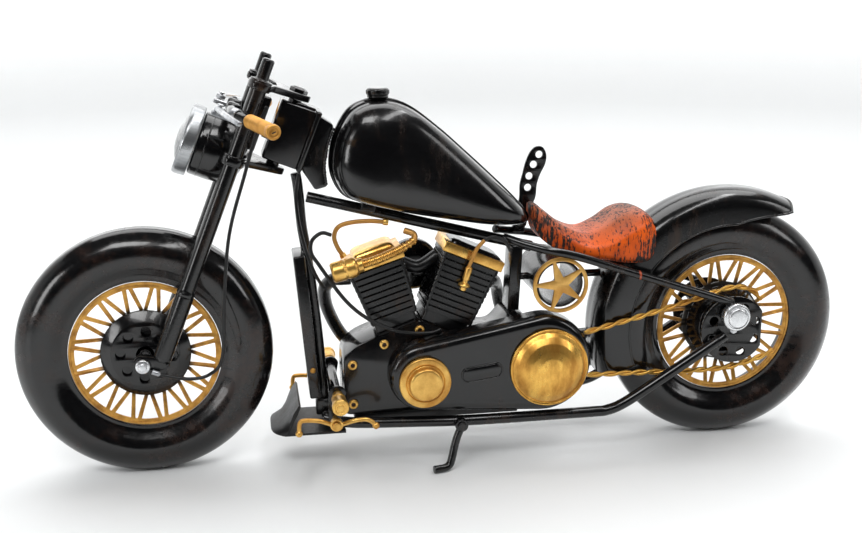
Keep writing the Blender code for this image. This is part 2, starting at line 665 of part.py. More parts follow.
case_envelope = [(case_points[0][0], -5.0)] + [(x, z + 0.4) for x, z in case_points[1:-1]] + [(40, -5.0)]
case_envelope = [(x * mm, z * mm) for x, z in case_envelope]


def cylinder(name, base, lean, foot, head, fins):
    """A finned barrel that widens towards its head, cut to stand on the crankcase."""
    spigot = 9.0 * mm
    core_x, core_y = foot - fin_depth, cylinder_half_width - fin_depth
    rings = [eight_sided(core_x, core_y, 2.6 * mm, -spigot)]
    for index in range(fins):
        half = foot + (head - foot) * index / (fins - 1)
        for inset, rise in ((fin_depth, 0.1), (0, 0.4), (0, 0.9)):
            rings.append(eight_sided(half - inset, cylinder_half_width - inset, 2.6 * mm,
                                     (index + rise) * fin_pitch))
    place = Matrix.Translation((base[0], 0, base[1])) @ Matrix.Rotation(lean, 4, 'Y')
    barrel = finish(name, loft_mesh(name, rings), satin, place, None, 20)
    cutter = prism_mesh('cutter', case_envelope, -2 * case_half_width, 2 * case_half_width)
    bpy.context.view_layer.update()
    cutter.transform(barrel.matrix_world.inverted())
    combine(barrel, [cutter], 'DIFFERENCE')
    top = place @ Matrix.Translation((0, 0, (fins - 0.1) * fin_pitch + gap))
    return top


front_top = cylinder('cylinder_front', (-25.4 * mm, 70.8 * mm), radians(-18), 11.5 * mm, 13.4 * mm, 9)
rear_top = cylinder('cylinder_rear', (-0.2 * mm, 69.8 * mm), radians(23.5), 12.6 * mm, 14.2 * mm, 10)
rocker_height = 4.8 * mm
rocker_centre = (0, 0, rocker_height / 2)
box('rocker_box_rear', (30.6 * mm, 24 * mm, rocker_height), rocker_centre, gold, rear_top, bevel=0.8 * mm)
rocker = box('rocker_box_front', (28.6 * mm, 23 * mm, rocker_height), rocker_centre, gold, front_top,
             bevel=0.8 * mm)
dome_rings = []
for share, height in ((1.0, 0), (0.96, 1.6), (0.8, 3.2), (0.5, 4.2)):
    dome_rings.append(eight_sided(10.4 * mm * share, 9.0 * mm * share, 3.0 * mm * share, height * mm))
weld(rocker, loft_mesh('dome', dome_rings), front_top @ Matrix.Translation((1 * mm, 0, 4.4 * mm)))

plug_profile = [(0, 0), (1.6 * mm, 0), (1.6 * mm, 1.6 * mm), (2.4 * mm, 1.8 * mm), (2.4 * mm, 4.0 * mm),
                (1.3 * mm, 4.4 * mm), (1.2 * mm, 11.6 * mm), (0, 12.0 * mm)]
plug_place = Matrix.Translation((6.4 * mm, -(cylinder_half_width + 3.2 * mm), 84.2 * mm))
plug = turned('spark_plug', plug_profile, gold, plug_place @ Matrix.Rotation(radians(16), 4, 'Y'), None, 10)
plug_route = [(8.0, -15.2, 90.0), (9.0, -15.2, 93.4), (11.4, -15.8, 98.5), (13.6, -16.0, 104.0),
              (17.0, -15.6, 107.8), (21.6, -15.0, 109.0), (26.6, -14.4, 106.6), (29.6, -13.8, 101.5)]
lead = smooth_route([(x * mm, y * mm, z * mm) for x, y, z in plug_route], 2)
weld(plug, tube_mesh('lead', lead, 0.8 * mm))

motor_start = Vector((-55.0 * mm, -18.5 * mm, 96.0 * mm))
motor_end = Vector((-40.6 * mm, -18.5 * mm, 99.6 * mm))
length = (motor_end - motor_start).length
motor_profile = [(3.6 * mm, 0), (4.8 * mm, 0.8 * mm), (4.8 * mm, 0.42 * length), (4.2 * mm, 0.46 * length),
                 (4.2 * mm, 0.72 * length), (3.4 * mm, 0.76 * length), (3.4 * mm, length)]
starter = turned('starter_motor', motor_profile, gold, aim(motor_start, motor_end), None, 14)
hose_route = [(-41.6, -18.5, 99.4), (-33, -18.5, 102.0), (-24, -18.0, 105.6), (-17.4, -17.2, 109.2),
              (-16.6, -15.0, 112.0), (-20.6, -12.6, 113.4)]
hose = smooth_route([(x * mm, y * mm, z * mm) for x, y, z in hose_route], 2)
weld(starter, tube_mesh('hose', hose, 2.0 * mm))
pipe_route = [(-48.8, -13.6, 102.4), (-51.6, -13.6, 107.0), (-53.0, -13.6, 112.0), (-51.0, -13.4, 116.4),
              (-45.0, -13.0, 118.2), (-36.0, -12.4, 118.4), (-28.0, -12.0, 117.4)]
tube('oil_pipe', [(x * mm, y * mm, z * mm) for x, y, z in pipe_route], 1.1 * mm, gold, steps=2)
vent_route = [(-54.6, -17.0, 113.6), (-59.0, -18.4, 115.0), (-63.4, -19.6, 112.0), (-64.0, -20.0, 106.5),
              (-60.6, -20.4, 100.6), (-49.5, -20.8, 84.0), (-38.5, -20.0, 73.8), (-24.6, -18.0, 66.6),
              (-10.6, -16.4, 64.4), (-4.0, -15.4, 65.6)]
tube('vent_cable', [(x * mm, y * mm, z * mm) for x, y, z in vent_route], 0.9 * mm, cable, steps=2)
neck_route = [(-68.0, -10.0, 141.0), (-69.6, -10.0, 130.0), (-68.6, -11.0, 118.0), (-66.0, -13.5, 106.0),
              (-62.5, -16.2, 96.0), (-58.5, -17.2, 88.5)]
tube('throttle_cable', [(x * mm, y * mm, z * mm) for x, y, z in neck_route], 0.8 * mm, cable, steps=2)

cleaner_x = -12.4 * mm
cleaner_profile = [(0, 0), (11.0 * mm, 0), (12.6 * mm, 1.6 * mm), (12.6 * mm, 5.6 * mm), (11 * mm, 7 * mm),
                   (0, 7.8 * mm)]
cleaner_place = left_axis(cleaner_x, cylinder_half_width + 2.0 * mm, 90 * mm) @ Matrix.Rotation(pi, 4, 'X')
cleaner = turned('air_cleaner', cleaner_profile, black, cleaner_place, None, 20)
weld(cleaner, box_mesh('intake', (6.6 * mm, 17 * mm, 7.0 * mm), 1 * mm),
     Matrix.Translation((cleaner_x, 7 * mm, 91.6 * mm)))

# Exhaust, on the right.
# Each point is x, inwards of the outer run, and z, in millimetres.
front_pipe = [(-48.4, 21.5, 86.0), (-52.4, 19.0, 85.0), (-56.0, 13.5, 79.0), (-54.0, 6.0, 66.0),
              (-46.0, 1.0, 50.0), (-32.0, 0, 37.5), (-12.0, 0, 32.5), (14.0, 0, 31.5), (39.4, 0, 31.5)]
rear_pipe = [(22.6, 20.5, 80.5), (27.6, 15.5, 80.0), (31.0, 7.5, 75.0), (34.5, 1.5, 63.0), (40.0, 0, 51.0),
             (52.0, 0, 45.0), (72.0, 0, 44.2), (118.0, 0, 46.0)]
pipe_radius = 3.2 * mm
front_exhaust = tube('exhaust_front', [(x * mm, pipe_spread - y * mm, z * mm) for x, y, z in front_pipe],
                     pipe_radius, black, steps=2)
tube('exhaust_rear', [(x * mm, pipe_spread - y * mm, z * mm) for x, y, z in rear_pipe], pipe_radius, black,
     steps=1)
muffler = [(3.0 * mm, 0), (5.4 * mm, 6 * mm), (5.4 * mm, 70 * mm), (4.4 * mm, 76 * mm)]
weld(front_exhaust, turned_mesh('muffler', muffler, 14),
     aim((37.0 * mm, pipe_spread, 31.5 * mm), (116 * mm, pipe_spread, 32.5 * mm)))

# Oil can with its star cover, behind the engine.
can_x, can_z = 52.5 * mm, 85.6 * mm
can_radius, can_bore = 11.4 * mm, 10.2 * mm
can_wall = [(can_bore, -can_half), (can_radius - 0.6 * mm, -can_half), (can_radius, -can_half + 0.8 * mm),
            (can_radius, can_half - 0.8 * mm), (can_radius - 0.6 * mm, can_half), (can_bore, can_half)]
can = turned('oil_can', can_wall, black, left_axis(can_x, 0, can_z), None, 24, True)
lug_start = can_radius - 0.6 * mm
fender_front = rear_axle_x - sqrt(fender_radius ** 2 - (can_z - axle_z) ** 2)
for tip in (fender_front - 1.2 * mm, 37.2 * mm):
    root = can_x + (lug_start if tip > can_x else -lug_start)
    weld(can, tube_mesh('lug', [Vector((root, 0, can_z)), Vector((tip, 0, can_z))], 1.8 * mm))


def star_cover(name):
    """A ring with a five pointed star inside it, cut from sheet."""
    ring_inner = 11.6 * mm
    windows = []
    for index in range(5):
        middle = radians(90 + 72 * index + 36)
        reach = [(ring_inner, middle - radians(28)), (ring_inner, middle), (ring_inner, middle + radians(28)),
                 (4.9 * mm, middle)]
        windows.append([(r * cos(a), r * sin(a)) for r, a in reach])
    mesh = plate_mesh(name, circle(13.4 * mm, 30), windows, 1.6 * mm)
    return finish(name, mesh, gold, left_axis(can_x, -(can_half + gap + 0.8 * mm), can_z))


star_cover('star_cover')


# Tank, seat and fender.

tank_centre = (-14.0 * mm, 139.0 * mm)
tank_points = [(-49.0, 162.0), (-43.5, 169.4), (-35.0, 173.0), (-25.0, 173.0), (-15.0, 169.0), (-2.0, 159.0),
               (10.0, 148.2), (22.4, 136.6), (33.0, 126.2), (39.6, 118.6), (40.6, 113.6), (37.0, 111.6),
               (22.0, 112.2), (-2.0, 116.6), (-24.0, 121.0), (-43.0, 126.4), (-50.0, 131.6), (-53.6, 141.0),
               (-52.8, 152.0)]


def tank_ring(scale, y, slide):
    """The tank outline shrunk towards a centre that slides forward as the tank narrows."""
    centre_x = tank_centre[0] - slide
    return [(centre_x + (x * mm - centre_x) * scale, y, tank_centre[1] + (z * mm - tank_centre[1]) * scale)
            for x, z in tank_points]


for side_name, side_sign in (('left', -1), ('right', 1)):
    shape = [(1.0, 0.02, 0), (1.0, 0.10, 0), (0.965, 0.11, 0), (0.955, 0.40, 0), (0.90, 0.62, 2 * mm),
             (0.78, 0.80, 4 * mm), (0.58, 0.93, 7 * mm), (0.30, 0.99, 9 * mm)]
    rings = [tank_ring(scale, side_sign * share * tank_half_width, slide) for scale, share, slide in shape]
    finish(f'tank_{side_name}', loft_mesh(f'tank_{side_name}', rings), black, None, None, 40)
turned('filler_cap', [(4.9 * mm, 0), (4.9 * mm, 1.2 * mm), (5.4 * mm, 1.5 * mm), (5.4 * mm, 3.5 * mm),
                      (4.6 * mm, 4.2 * mm), (0, 4.4 * mm)], black,
       Matrix.Translation((-30.4 * mm, 0, 173.4 * mm)), None, 20)


def seat_section(x, half, crown, floor):
    """One section of the saddle: a soft top over straight flanks."""
    rise = crown - floor
    points = [(0.0, 1.0), (0.45, 0.985), (0.8, 0.9), (0.98, 0.66), (1.0, 0.3), (0.9, 0.0)]
    right = [(x, half * across, floor + rise * up) for across, up in points]
    return right + [(a, -b, c) for a, b, c in reversed(right[1:])]


# Share of the length, share of the half width, crown and floor in millimetres.
seat_table = [(0.0, 0.2419, 121.6, 117.0), (0.044, 0.4301, 121.6, 111.6), (0.1286, 0.6452, 117.6, 106.2),
              (0.264, 0.8333, 111.6, 101.4), (0.4332, 0.9677, 108.0, 98.6), (0.5854, 1.0, 111.2, 96.0),
              (0.7208, 1.0, 116.6, 94.4), (0.8393, 1.0, 118.4, 94.0), (0.9408, 0.9462, 117.0, 94.6),
              (1.0, 0.7849, 113.4, 98.0)]
seat_front = 41.4 * mm
envelope_radius = fender_radius + 2 * gap
seat_rear = rear_axle_x + 0.9 * mm - sqrt(envelope_radius ** 2 - (seat_table[-1][2] * mm - axle_z) ** 2)
seat_rings = [seat_section(seat_front + share * (seat_rear - seat_front), half * seat_half_width, crown * mm,
                           floor * mm) for share, half, crown, floor in seat_table]
seat = finish('seat', loft_mesh('seat', seat_rings), leather, None, None, 50)
envelope = turned_mesh('envelope', [(envelope_radius, -fender_half_width - 2 * gap),
                                    (envelope_radius, fender_half_width + 2 * gap)], 64)
envelope.transform(left_axis(rear_axle_x, 0, axle_z))
combine(seat, [envelope], 'DIFFERENCE')


def fender():
    """A sheet trough around the front and top of the rear wheel, with skirts that fade at the tail."""
    start, end, count = radians(63), radians(200), 17
    rings = []
    for index in range(count + 1):
        angle = start + (end - start) * index / count
        fade = min(1.0, (angle - start) / radians(26))
        crown = fender_radius
        skirt = crown - 5.0 * mm - fender_skirt * fade ** 0.7
        half = fender_half_width
        outer = [(skirt, half), (crown - 6.5 * mm, half), (crown - 2.6 * mm, half * 0.8),
                 (crown, half * 0.35)]
        if skirt > crown - 6.6 * mm:
            outer[1] = (skirt + 0.3 * mm, half)
        inner = [(skirt, half - fender_sheet), (outer[1][0], half - fender_sheet),
                 (outer[2][0] - 0.8 * fender_sheet, half * 0.8 - 0.6 * fender_sheet),
                 (crown - fender_sheet, half * 0.33)]
        loop = outer + [(r, -y) for r, y in reversed(outer)] + [(r, -y) for r, y in inner] + inner[::-1]
        rings.append([(rear_axle_x + r * cos(angle), y, axle_z + r * sin(angle)) for r, y in loop])
    finish('rear_fender', loft_mesh('rear_fender', rings), black, None, None, 40)


fender()

# Twisted wire chain, upper and lower runs.
# Each point is a share of the way to the rear axle and its height above that share of the axle's height.
chain_front = 65.5 * mm
upper_run = [(0, 60.5), (0.392, 44.7), (0.7508, 30.9), (0.99, 21.7), (1.1229, 18.9), (1.1827, 13.9)]
lower_run = [(0.0199, 37.8), (0.4053, 14.9), (0.6711, -1.3), (0.9502, -17.2), (1.1495, -16.9),
             (1.2957, -12.9)]
for run_name, run in (('upper', upper_run), ('lower', lower_run)):
    points = [(chain_front + share * (rear_axle_x - chain_front), -chain_spread,
               min(share, 1) * axle_z + z * mm) for share, z in run]
    tube(f'chain_{run_name}', points, chain_radius, gold, steps=2)

# Foot controls.
skid = [(-85, 17.4), (-50, 17.4), (-50, 18.5), (-81.5, 18.5), (-70.8, 31.6), (-71.8, 32.6)]
prism('skid_plate', [(x * mm, z * mm) for x, z in skid], -17 * mm, 17 * mm, black)
peg_y, bracket_y, pedal_y = 24 * mm, 21.4 * mm, 31 * mm
pedal_x, pedal_z = -55.5 * mm, 27.6 * mm
pegs = turned('foot_pegs', [(peg_bar_radius, -peg_y), (peg_bar_radius, peg_y)], black,
              left_axis(peg_bar_x, 0, peg_bar_z), None, 12)
for side_sign in (-1, 1):
    flip = Matrix.Identity(4) if side_sign < 0 else Matrix.Rotation(pi, 4, 'X')
    peg = [(2.6 * mm, -1.0 * mm), (2.6 * mm, 3 * mm), (3.4 * mm, 3.4 * mm), (3.4 * mm, 12 * mm),
           (3.9 * mm, 12.4 * mm), (3.9 * mm, 15.2 * mm), (2.2 * mm, 15.6 * mm)]
    weld(pegs, turned_mesh('peg', peg, 12), left_axis(peg_bar_x, side_sign * peg_y, peg_bar_z) @ flip)
    foot_x, foot_z = pedal_x - peg_bar_x, pedal_z - peg_bar_z
    eye_radius, foot_radius = 4.4 * mm, 3.2 * mm
    eye = [(eye_radius * sin(radians(a)), eye_radius * cos(radians(a))) for a in (-70, -35, 0, 35, 70)]
    foot = [(foot_x + foot_radius * sin(radians(a)), foot_z + foot_radius * cos(radians(a)))
            for a in (110, 145, 180, 215, 250)]
    bracket = plate_mesh('bracket', eye + foot, [], 1.6 * mm)
    weld(pegs, bracket, left_axis(peg_bar_x, side_sign * bracket_y, peg_bar_z))
    stud = [(1.2 * mm, 0), (1.2 * mm, 12.0 * mm), (2.0 * mm, 12.0 * mm), (2.0 * mm, 13.2 * mm)]
    weld(pegs, turned_mesh('stud', stud, 8), left_axis(pedal_x, side_sign * bracket_y, pedal_z) @ flip)


def pedal(name, side_sign, points, ends):
    """A bent wire pedal with round ends, on an eye that turns on its stud."""
    axis = pivot(f'{name}_axis', left_axis(pedal_x, side_sign * pedal_y, pedal_z))
    eye_bore = 1.2 * mm + running_clearance
    eye = turned_mesh(name, [(eye_bore, -1.7 * mm), (3.0 * mm, -1.7 * mm), (3.0 * mm, 1.7 * mm),
                             (eye_bore, 1.7 * mm)], 12, ring=True)
    thing = finish(name, eye, gold, parent=axis)
    tools = []
    for run in points:
        tools.append(tube_mesh('run', [Vector((x * mm, z * mm, 0)) for x, z in run], 1.2 * mm))
    for x, z in ends:
        ball = bmesh.new()
        bmesh.ops.create_uvsphere(ball, u_segments=8, v_segments=5, radius=2.0 * mm)
        bmesh.ops.translate(ball, verts=ball.verts, vec=(x * mm, z * mm, 0))
        tools.append(mesh_from(ball, 'ball'))
    combine(thing, tools, 'UNION')


pedal('shift_pedal', -1, [[(-2.5, 0.2), (-8, 2.2), (-17.4, 2.6), (-17.2, -2.6)],
                          [(2.5, -0.2), (13.0, 1.4), (17.4, -1.4)]], [(-17.2, -3.4), (18.2, -1.8)])
pedal('brake_pedal', 1, [[(-2.5, 0.2), (-8, 2.2), (-17.4, 2.6), (-17.2, -2.6)]], [(-17.2, -3.4)])

# Kickstand, on a pin in the left rail.
stand_y = -(rail_spread + frame_tube + gap + 2.2 * mm)
pin = [(1.2 * mm, 0), (1.2 * mm, 6.6 * mm), (2.0 * mm, 6.6 * mm), (2.0 * mm, 7.6 * mm)]
weld(left_rail, turned_mesh('pin', pin, 12),
     left_axis(stand_pivot_x, -(rail_spread + frame_tube - 2.0 * mm), rail_height))
stand_axis = pivot('kickstand_axis', left_axis(stand_pivot_x, stand_y, rail_height))
stand_bore = 1.2 * mm + running_clearance
stand_eye = turned_mesh('kickstand', [(stand_bore, -1.8 * mm), (3.1 * mm, -1.8 * mm), (3.1 * mm, 1.8 * mm),
                                      (stand_bore, 1.8 * mm)], 16, ring=True)
kickstand = finish('kickstand', stand_eye, black, parent=stand_axis)
true_stand = stand_radius * cos(pi / 12)
foot_drop = -(rail_height - true_stand)
leg_points = [(-0.6 * mm, -2.3 * mm, 0), (-3.4 * mm, -10 * mm, 1.2 * mm),
              (-5.0 * mm, foot_drop + 2.2 * mm, 2.4 * mm), (-6.6 * mm, foot_drop, 3.2 * mm),
              (-14.0 * mm, foot_drop, 5.2 * mm)]
combine(kickstand, [tube_mesh('leg', [Vector(point) for point in leg_points], stand_radius)], 'UNION')

# Hand shifter behind the tank, on the right.
shifter_x, shifter_z, shifter_y = 40.0 * mm, 109.4 * mm, 11.6 * mm
shifter_axis = pivot('hand_shifter_axis', left_axis(shifter_x, shifter_y, shifter_z))
shifter_outline = [(-3.2, -1.0), (0, -3.2), (3.2, -1.0), (3.6, 6), (6.2, 14), (5.6, 20), (7.6, 25),
                   (10.6, 29.5), (11.0, 34), (8.8, 37.4), (5.4, 36.4), (3.0, 31.0), (0.4, 26.0),
                   (-0.6, 19.0), (-0.4, 12), (-2.6, 5)]
shifter_holes = [circle(1.3 * mm + running_clearance, 12)]
for x, z in ((7.6, 33.4), (5.4, 28.4), (3.0, 22.6), (2.6, 16.8)):
    shifter_holes.append(circle(1.7 * mm, 8, (x * mm, z * mm)))
shifter = plate_mesh('hand_shifter', [(x * mm, z * mm) for x, z in shifter_outline], shifter_holes, 1.4 * mm)
finish('hand_shifter', shifter, black, parent=shifter_axis)
weld(right_stay, box_mesh('bracket', (6 * mm, 4.6 * mm, 9.0 * mm)),
     Matrix.Translation((shifter_x, shifter_y + 0.7 * mm + gap + 2.3 * mm, shifter_z - 0.5 * mm)))
pin = [(2.0 * mm, 0), (2.0 * mm, 1.0 * mm), (1.3 * mm, 1.0 * mm), (1.3 * mm, 3.4 * mm)]
weld(right_stay, turned_mesh('pin', pin, 12),
     left_axis(shifter_x, shifter_y - 0.7 * mm - gap - 1.0 * mm, shifter_z) @ Matrix.Rotation(pi, 4, 'X'))

bpy.context.view_layer.update()
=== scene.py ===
import bisect
import json
import math

import bmesh
import bpy
from mathutils import Matrix, Vector, noise


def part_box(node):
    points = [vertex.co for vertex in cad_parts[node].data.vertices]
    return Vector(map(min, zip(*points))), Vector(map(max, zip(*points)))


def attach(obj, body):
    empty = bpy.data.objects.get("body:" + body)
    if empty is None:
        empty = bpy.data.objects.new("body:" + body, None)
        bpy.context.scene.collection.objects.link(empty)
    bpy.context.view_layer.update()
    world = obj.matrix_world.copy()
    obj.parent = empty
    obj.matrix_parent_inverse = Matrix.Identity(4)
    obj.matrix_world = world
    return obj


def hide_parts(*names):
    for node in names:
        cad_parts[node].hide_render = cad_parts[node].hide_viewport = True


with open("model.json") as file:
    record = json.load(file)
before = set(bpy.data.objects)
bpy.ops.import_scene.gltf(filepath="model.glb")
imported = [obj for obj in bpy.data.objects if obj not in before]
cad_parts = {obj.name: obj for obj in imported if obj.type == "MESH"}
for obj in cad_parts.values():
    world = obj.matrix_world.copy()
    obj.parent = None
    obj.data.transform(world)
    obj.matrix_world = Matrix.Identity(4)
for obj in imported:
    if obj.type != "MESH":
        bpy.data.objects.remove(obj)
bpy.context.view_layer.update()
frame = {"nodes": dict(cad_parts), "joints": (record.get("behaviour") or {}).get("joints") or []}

mm = 0.001
joints = {joint["name"]: joint for joint in frame["joints"]}
print("frame loaded:", len(frame["nodes"]), "parts")


# ways to set out points

def softened(points, radius, steps=4, loop=False):
    # rounds the corners of a row of points
    row = [Vector(point) for point in points]
    count = len(row)
    rounded = []
    for index, corner in enumerate(row):
        if not loop and index in (0, count - 1):
            rounded.append(corner)
            continue
        before, after = row[index - 1] - corner, row[(index + 1) % count] - corner
        start = corner + before.normalized() * min(radius, before.length * 0.48)
        end = corner + after.normalized() * min(radius, after.length * 0.48)
        for step in range(steps + 1):
            t = step / steps
            rounded.append(start * (1 - t) ** 2 + corner * (2 * t * (1 - t)) + end * t ** 2)
    return rounded


def flowing(points, steps=8, loop=False):
    # a smooth row of points through the given ones
    knots = [Vector(point) for point in points]
    if loop:
        knots = [knots[-1], *knots, knots[0], knots[1]]
    else:
        knots = [knots[0] * 2 - knots[1], *knots, knots[-1] * 2 - knots[-2]]
    row = []
    for a, b, c, d in zip(knots, knots[1:], knots[2:], knots[3:]):
        for step in range(steps):
            t = step / steps
            row.append((b * 2 + (c - a) * t + (a * 2 - b * 5 + c * 4 - d) * t ** 2
                        + (b * 3 - a - c * 3 + d) * t ** 3) * 0.5)
    if not loop:
        row.append(knots[-2])
    return row


def roundLoop(radius, count=48, centre=(0, 0)):
    angles = [2 * math.pi * index / count for index in range(count)]
    return [(centre[0] + radius * math.cos(a), centre[1] + radius * math.sin(a)) for a in angles]


def shifted(x, y, z):
    return Matrix.Translation((x * mm, y * mm, z * mm))


def turned(angle, axis):
    return Matrix.Rotation(math.radians(angle), 4, axis)


def facingLeft(x, y, z):
    # Z points to the left side of the machine, in millimetres
    return shifted(x, y, z) @ turned(90, "X")


def facingRight(x, y, z):
    return shifted(x, y, z) @ turned(-90, "X")


def atJoint(name):
    # on a joint of the machine, with Z to the left
    return facingLeft(*[part / mm for part in joints[name]["pos_m"]])


def middleOf(node):
    # the middle of a node's box, in millimetres
    low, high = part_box(node)
    return (low + high) / 2 / mm


def pointing(start, end):
    # at start, with Z towards end, in millimetres
    way = Vector(end) - Vector(start)
    return shifted(*start) @ way.to_track_quat("Z", "Y").to_matrix().to_4x4()


# mesh parts, sized in millimetres

def latheSolid(profile, segments=72, closed=False):
    bm = bmesh.new()
    angles = [2 * math.pi * index / segments for index in range(segments)]
    rows = []
    for radius, height in profile:
        if radius < 0.0001:
            rows.append([bm.verts.new((0, 0, height * mm))])
        else:
            rows.append([bm.verts.new((radius * mm * math.cos(a), radius * mm * math.sin(a), height * mm))
                         for a in angles])
    pairs = list(zip(rows, rows[1:]))
    if closed:
        pairs.append((rows[-1], rows[0]))
    for low, high in pairs:
        for index in range(segments):
            after = (index + 1) % segments
            corners = (low[index % len(low)], low[after % len(low)],
                       high[after % len(high)], high[index % len(high)])
            bm.faces.new(list(dict.fromkeys(corners)))
    if not closed:
        for row in (rows[0], rows[-1]):
            if len(row) > 1:
                bm.faces.new(row)
    bmesh.ops.recalc_face_normals(bm, faces=bm.faces)
    return bm


def ringProfile(inner, outer, low, high):
    return [(inner, low), (outer, low), (outer, high), (inner, high)]


def turnedSolid(profile, radius, steps, segments, closed=False):
    # a lathe with its corners rounded
    return latheSolid(softened(profile, radius, steps, closed), segments, closed)


def pipeSolid(points, radius, sides=20, steps=8):
    # a round bar along the points, with a small chamfer at each end
    route = flowing(points, steps) if len(points) > 2 else [Vector(p) for p in softened(points, 1, 1)]
    route = [Vector(point) * mm for point in route]
    radii = [radius * mm] * len(route)
    edge = min(0.35 * mm, radii[0] * 0.3)
    first, last = (route[1] - route[0]).normalized(), (route[-1] - route[-2]).normalized()
    route = [route[0], route[0] + first * edge * 0.3, route[0] + first * edge, *route[1:-1],
             route[-1] - last * edge, route[-1] - last * edge * 0.3, route[-1]]
    radii = [radii[0] - edge, radii[0] - edge * 0.3, radii[0], *radii[1:-1],
             radii[-1], radii[-1] - edge * 0.3, radii[-1] - edge]
    side = first.orthogonal().normalized()
    bm = bmesh.new()
    rows = []
    for index, spot in enumerate(route):
        ahead = route[min(index + 1, len(route) - 1)] - route[max(index - 1, 0)]
        ahead.normalize()
        side = (side - ahead * side.dot(ahead)).normalized()
        other = ahead.cross(side)
        row = []
        for step in range(sides):
            a = 2 * math.pi * step / sides
            row.append(bm.verts.new(spot + (side * math.cos(a) + other * math.sin(a)) * radii[index]))
        rows.append(row)
    for low, high in zip(rows, rows[1:]):
        for index in range(sides):
            after = (index + 1) % sides
            bm.faces.new((low[index], low[after], high[after], high[index]))
    bm.faces.new(rows[0])
    bm.faces.new(rows[-1])
    bmesh.ops.recalc_face_normals(bm, faces=bm.faces)
    return bm


def outwardTurn(loop):
    # twice the signed area of a loop
    return sum(a[0] * b[1] - b[0] * a[1] for a, b in zip(loop, loop[1:] + loop[:1]))


def plateSolid(outline, holes, thickness, edge=0.2):
    # a flat plate with rounded edges, centred on Z = 0
    curve = bpy.data.curves.new("plate", "CURVE")
    curve.dimensions = "2D"
    curve.fill_mode = "BOTH"
    curve.extrude = (thickness / 2 - edge) * mm
    curve.bevel_depth = edge * mm
    curve.bevel_resolution = 1
    curve.offset = -edge * mm
    for loop in [outline, *holes]:
        # the outline turns left and the holes turn right
        if (outwardTurn(loop) > 0) != (loop is outline):
            loop = loop[::-1]
        spline = curve.splines.new("POLY")
        spline.points.add(len(loop) - 1)
        for target, spot in zip(spline.points, loop):
            target.co = (spot[0] * mm, spot[1] * mm, 0, 1)
        spline.use_cyclic_u = True
    holder = bpy.data.objects.new("plate", curve)
    bm = bmesh.new()
    bm.from_mesh(holder.to_mesh())
    holder.to_mesh_clear()
    bpy.data.objects.remove(holder)
    bpy.data.curves.remove(curve)
    bmesh.ops.remove_doubles(bm, verts=bm.verts, dist=0.002 * mm)
    bmesh.ops.recalc_face_normals(bm, faces=bm.faces)
    return bm


def blockSolid(size, edge=0.5, segments=3):
    bm = bmesh.new()
    bmesh.ops.create_cube(bm, size=1)
    bmesh.ops.scale(bm, vec=[side * mm for side in size], verts=bm.verts)
    bmesh.ops.bevel(bm, geom=bm.edges[:], offset=edge * mm, segments=segments, profile=0.5, affect="EDGES")
    return bm


def skinSolid(rings, capped=True):
    # skins a row of closed rings
    bm = bmesh.new()
    rows = [[bm.verts.new(Vector(point) * mm) for point in ring] for ring in rings]
    for low, high in zip(rows, rows[1:]):
        for index, corner in enumerate(low):
            after = (index + 1) % len(low)
            bm.faces.new((corner, low[after], high[after], high[index]))
    if capped:
        bm.faces.new(rows[0])
        bm.faces.new(rows[-1])
    bmesh.ops.recalc_face_normals(bm, faces=bm.faces)
    return bm


def cutSolid(solid, tool):
    # takes the tool's shape out of the solid
    made = []
    for bm in (solid, tool):
        mesh = bpy.data.meshes.new("cutting")
        bm.to_mesh(mesh)
        bm.free()
        thing = bpy.data.objects.new("cutting", mesh)
        bpy.context.scene.collection.objects.link(thing)
        made.append(thing)
    cutter = made[0].modifiers.new("cutter", "BOOLEAN")
    cutter.operation = "DIFFERENCE"
    cutter.solver = "EXACT"
    cutter.object = made[1]
    bpy.context.view_layer.update()
    shaped = made[0].evaluated_get(bpy.context.evaluated_depsgraph_get())
    bm = bmesh.new()
    bm.from_mesh(shaped.to_mesh())
    shaped.to_mesh_clear()
    for thing in made:
        bpy.data.objects.remove(thing)
    return bm


def beadSolid(points, radius, pitch=0.8):
    # a row of small overlapping lumps, like a weld
    route = flowing(points, 6)
    whole = bmesh.new()
    spots = [route[0]]
    for spot in route:
        if (spot - spots[-1]).length > pitch * radius:
            spots.append(spot)
    for spot in spots:
        wander = noise.noise_vector(spot * 3.1) * radius * 0.25
        size = radius * (0.9 + 0.3 * noise.noise(spot * 2.3))
        lump = bmesh.ops.create_icosphere(whole, subdivisions=2, radius=size * mm)
        bmesh.ops.translate(whole, verts=lump["verts"], vec=(spot + wander) * mm)
    return whole


def addPiece(name, solids, body, stands=(), place=None, sharp=38):
    # joins solids, each with its finish and its place, into one piece that moves with a body
    whole = bmesh.new()
    finishes = []
    for solid, finish, *spot in solids:
        if spot:
            solid.transform(spot[0])
        if finish not in finishes:
            finishes.append(finish)
        for face in solid.faces:
            face.material_index = finishes.index(finish)
            face.smooth = True
        holder = bpy.data.meshes.new("holder")
        solid.to_mesh(holder)
        solid.free()
        whole.from_mesh(holder)
        bpy.data.meshes.remove(holder)
    mesh = bpy.data.meshes.new(name)
    whole.to_mesh(mesh)
    whole.free()
    for finish in finishes:
        mesh.materials.append(finish.material)
    mesh.set_sharp_from_angle(angle=math.radians(sharp))
    piece = bpy.data.objects.new(name, mesh)
    bpy.context.scene.collection.objects.link(piece)
    piece.matrix_world = place or Matrix.Identity(4)
    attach(piece, body)
    if stands:
        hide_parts(*stands)
    return piece


# finishes

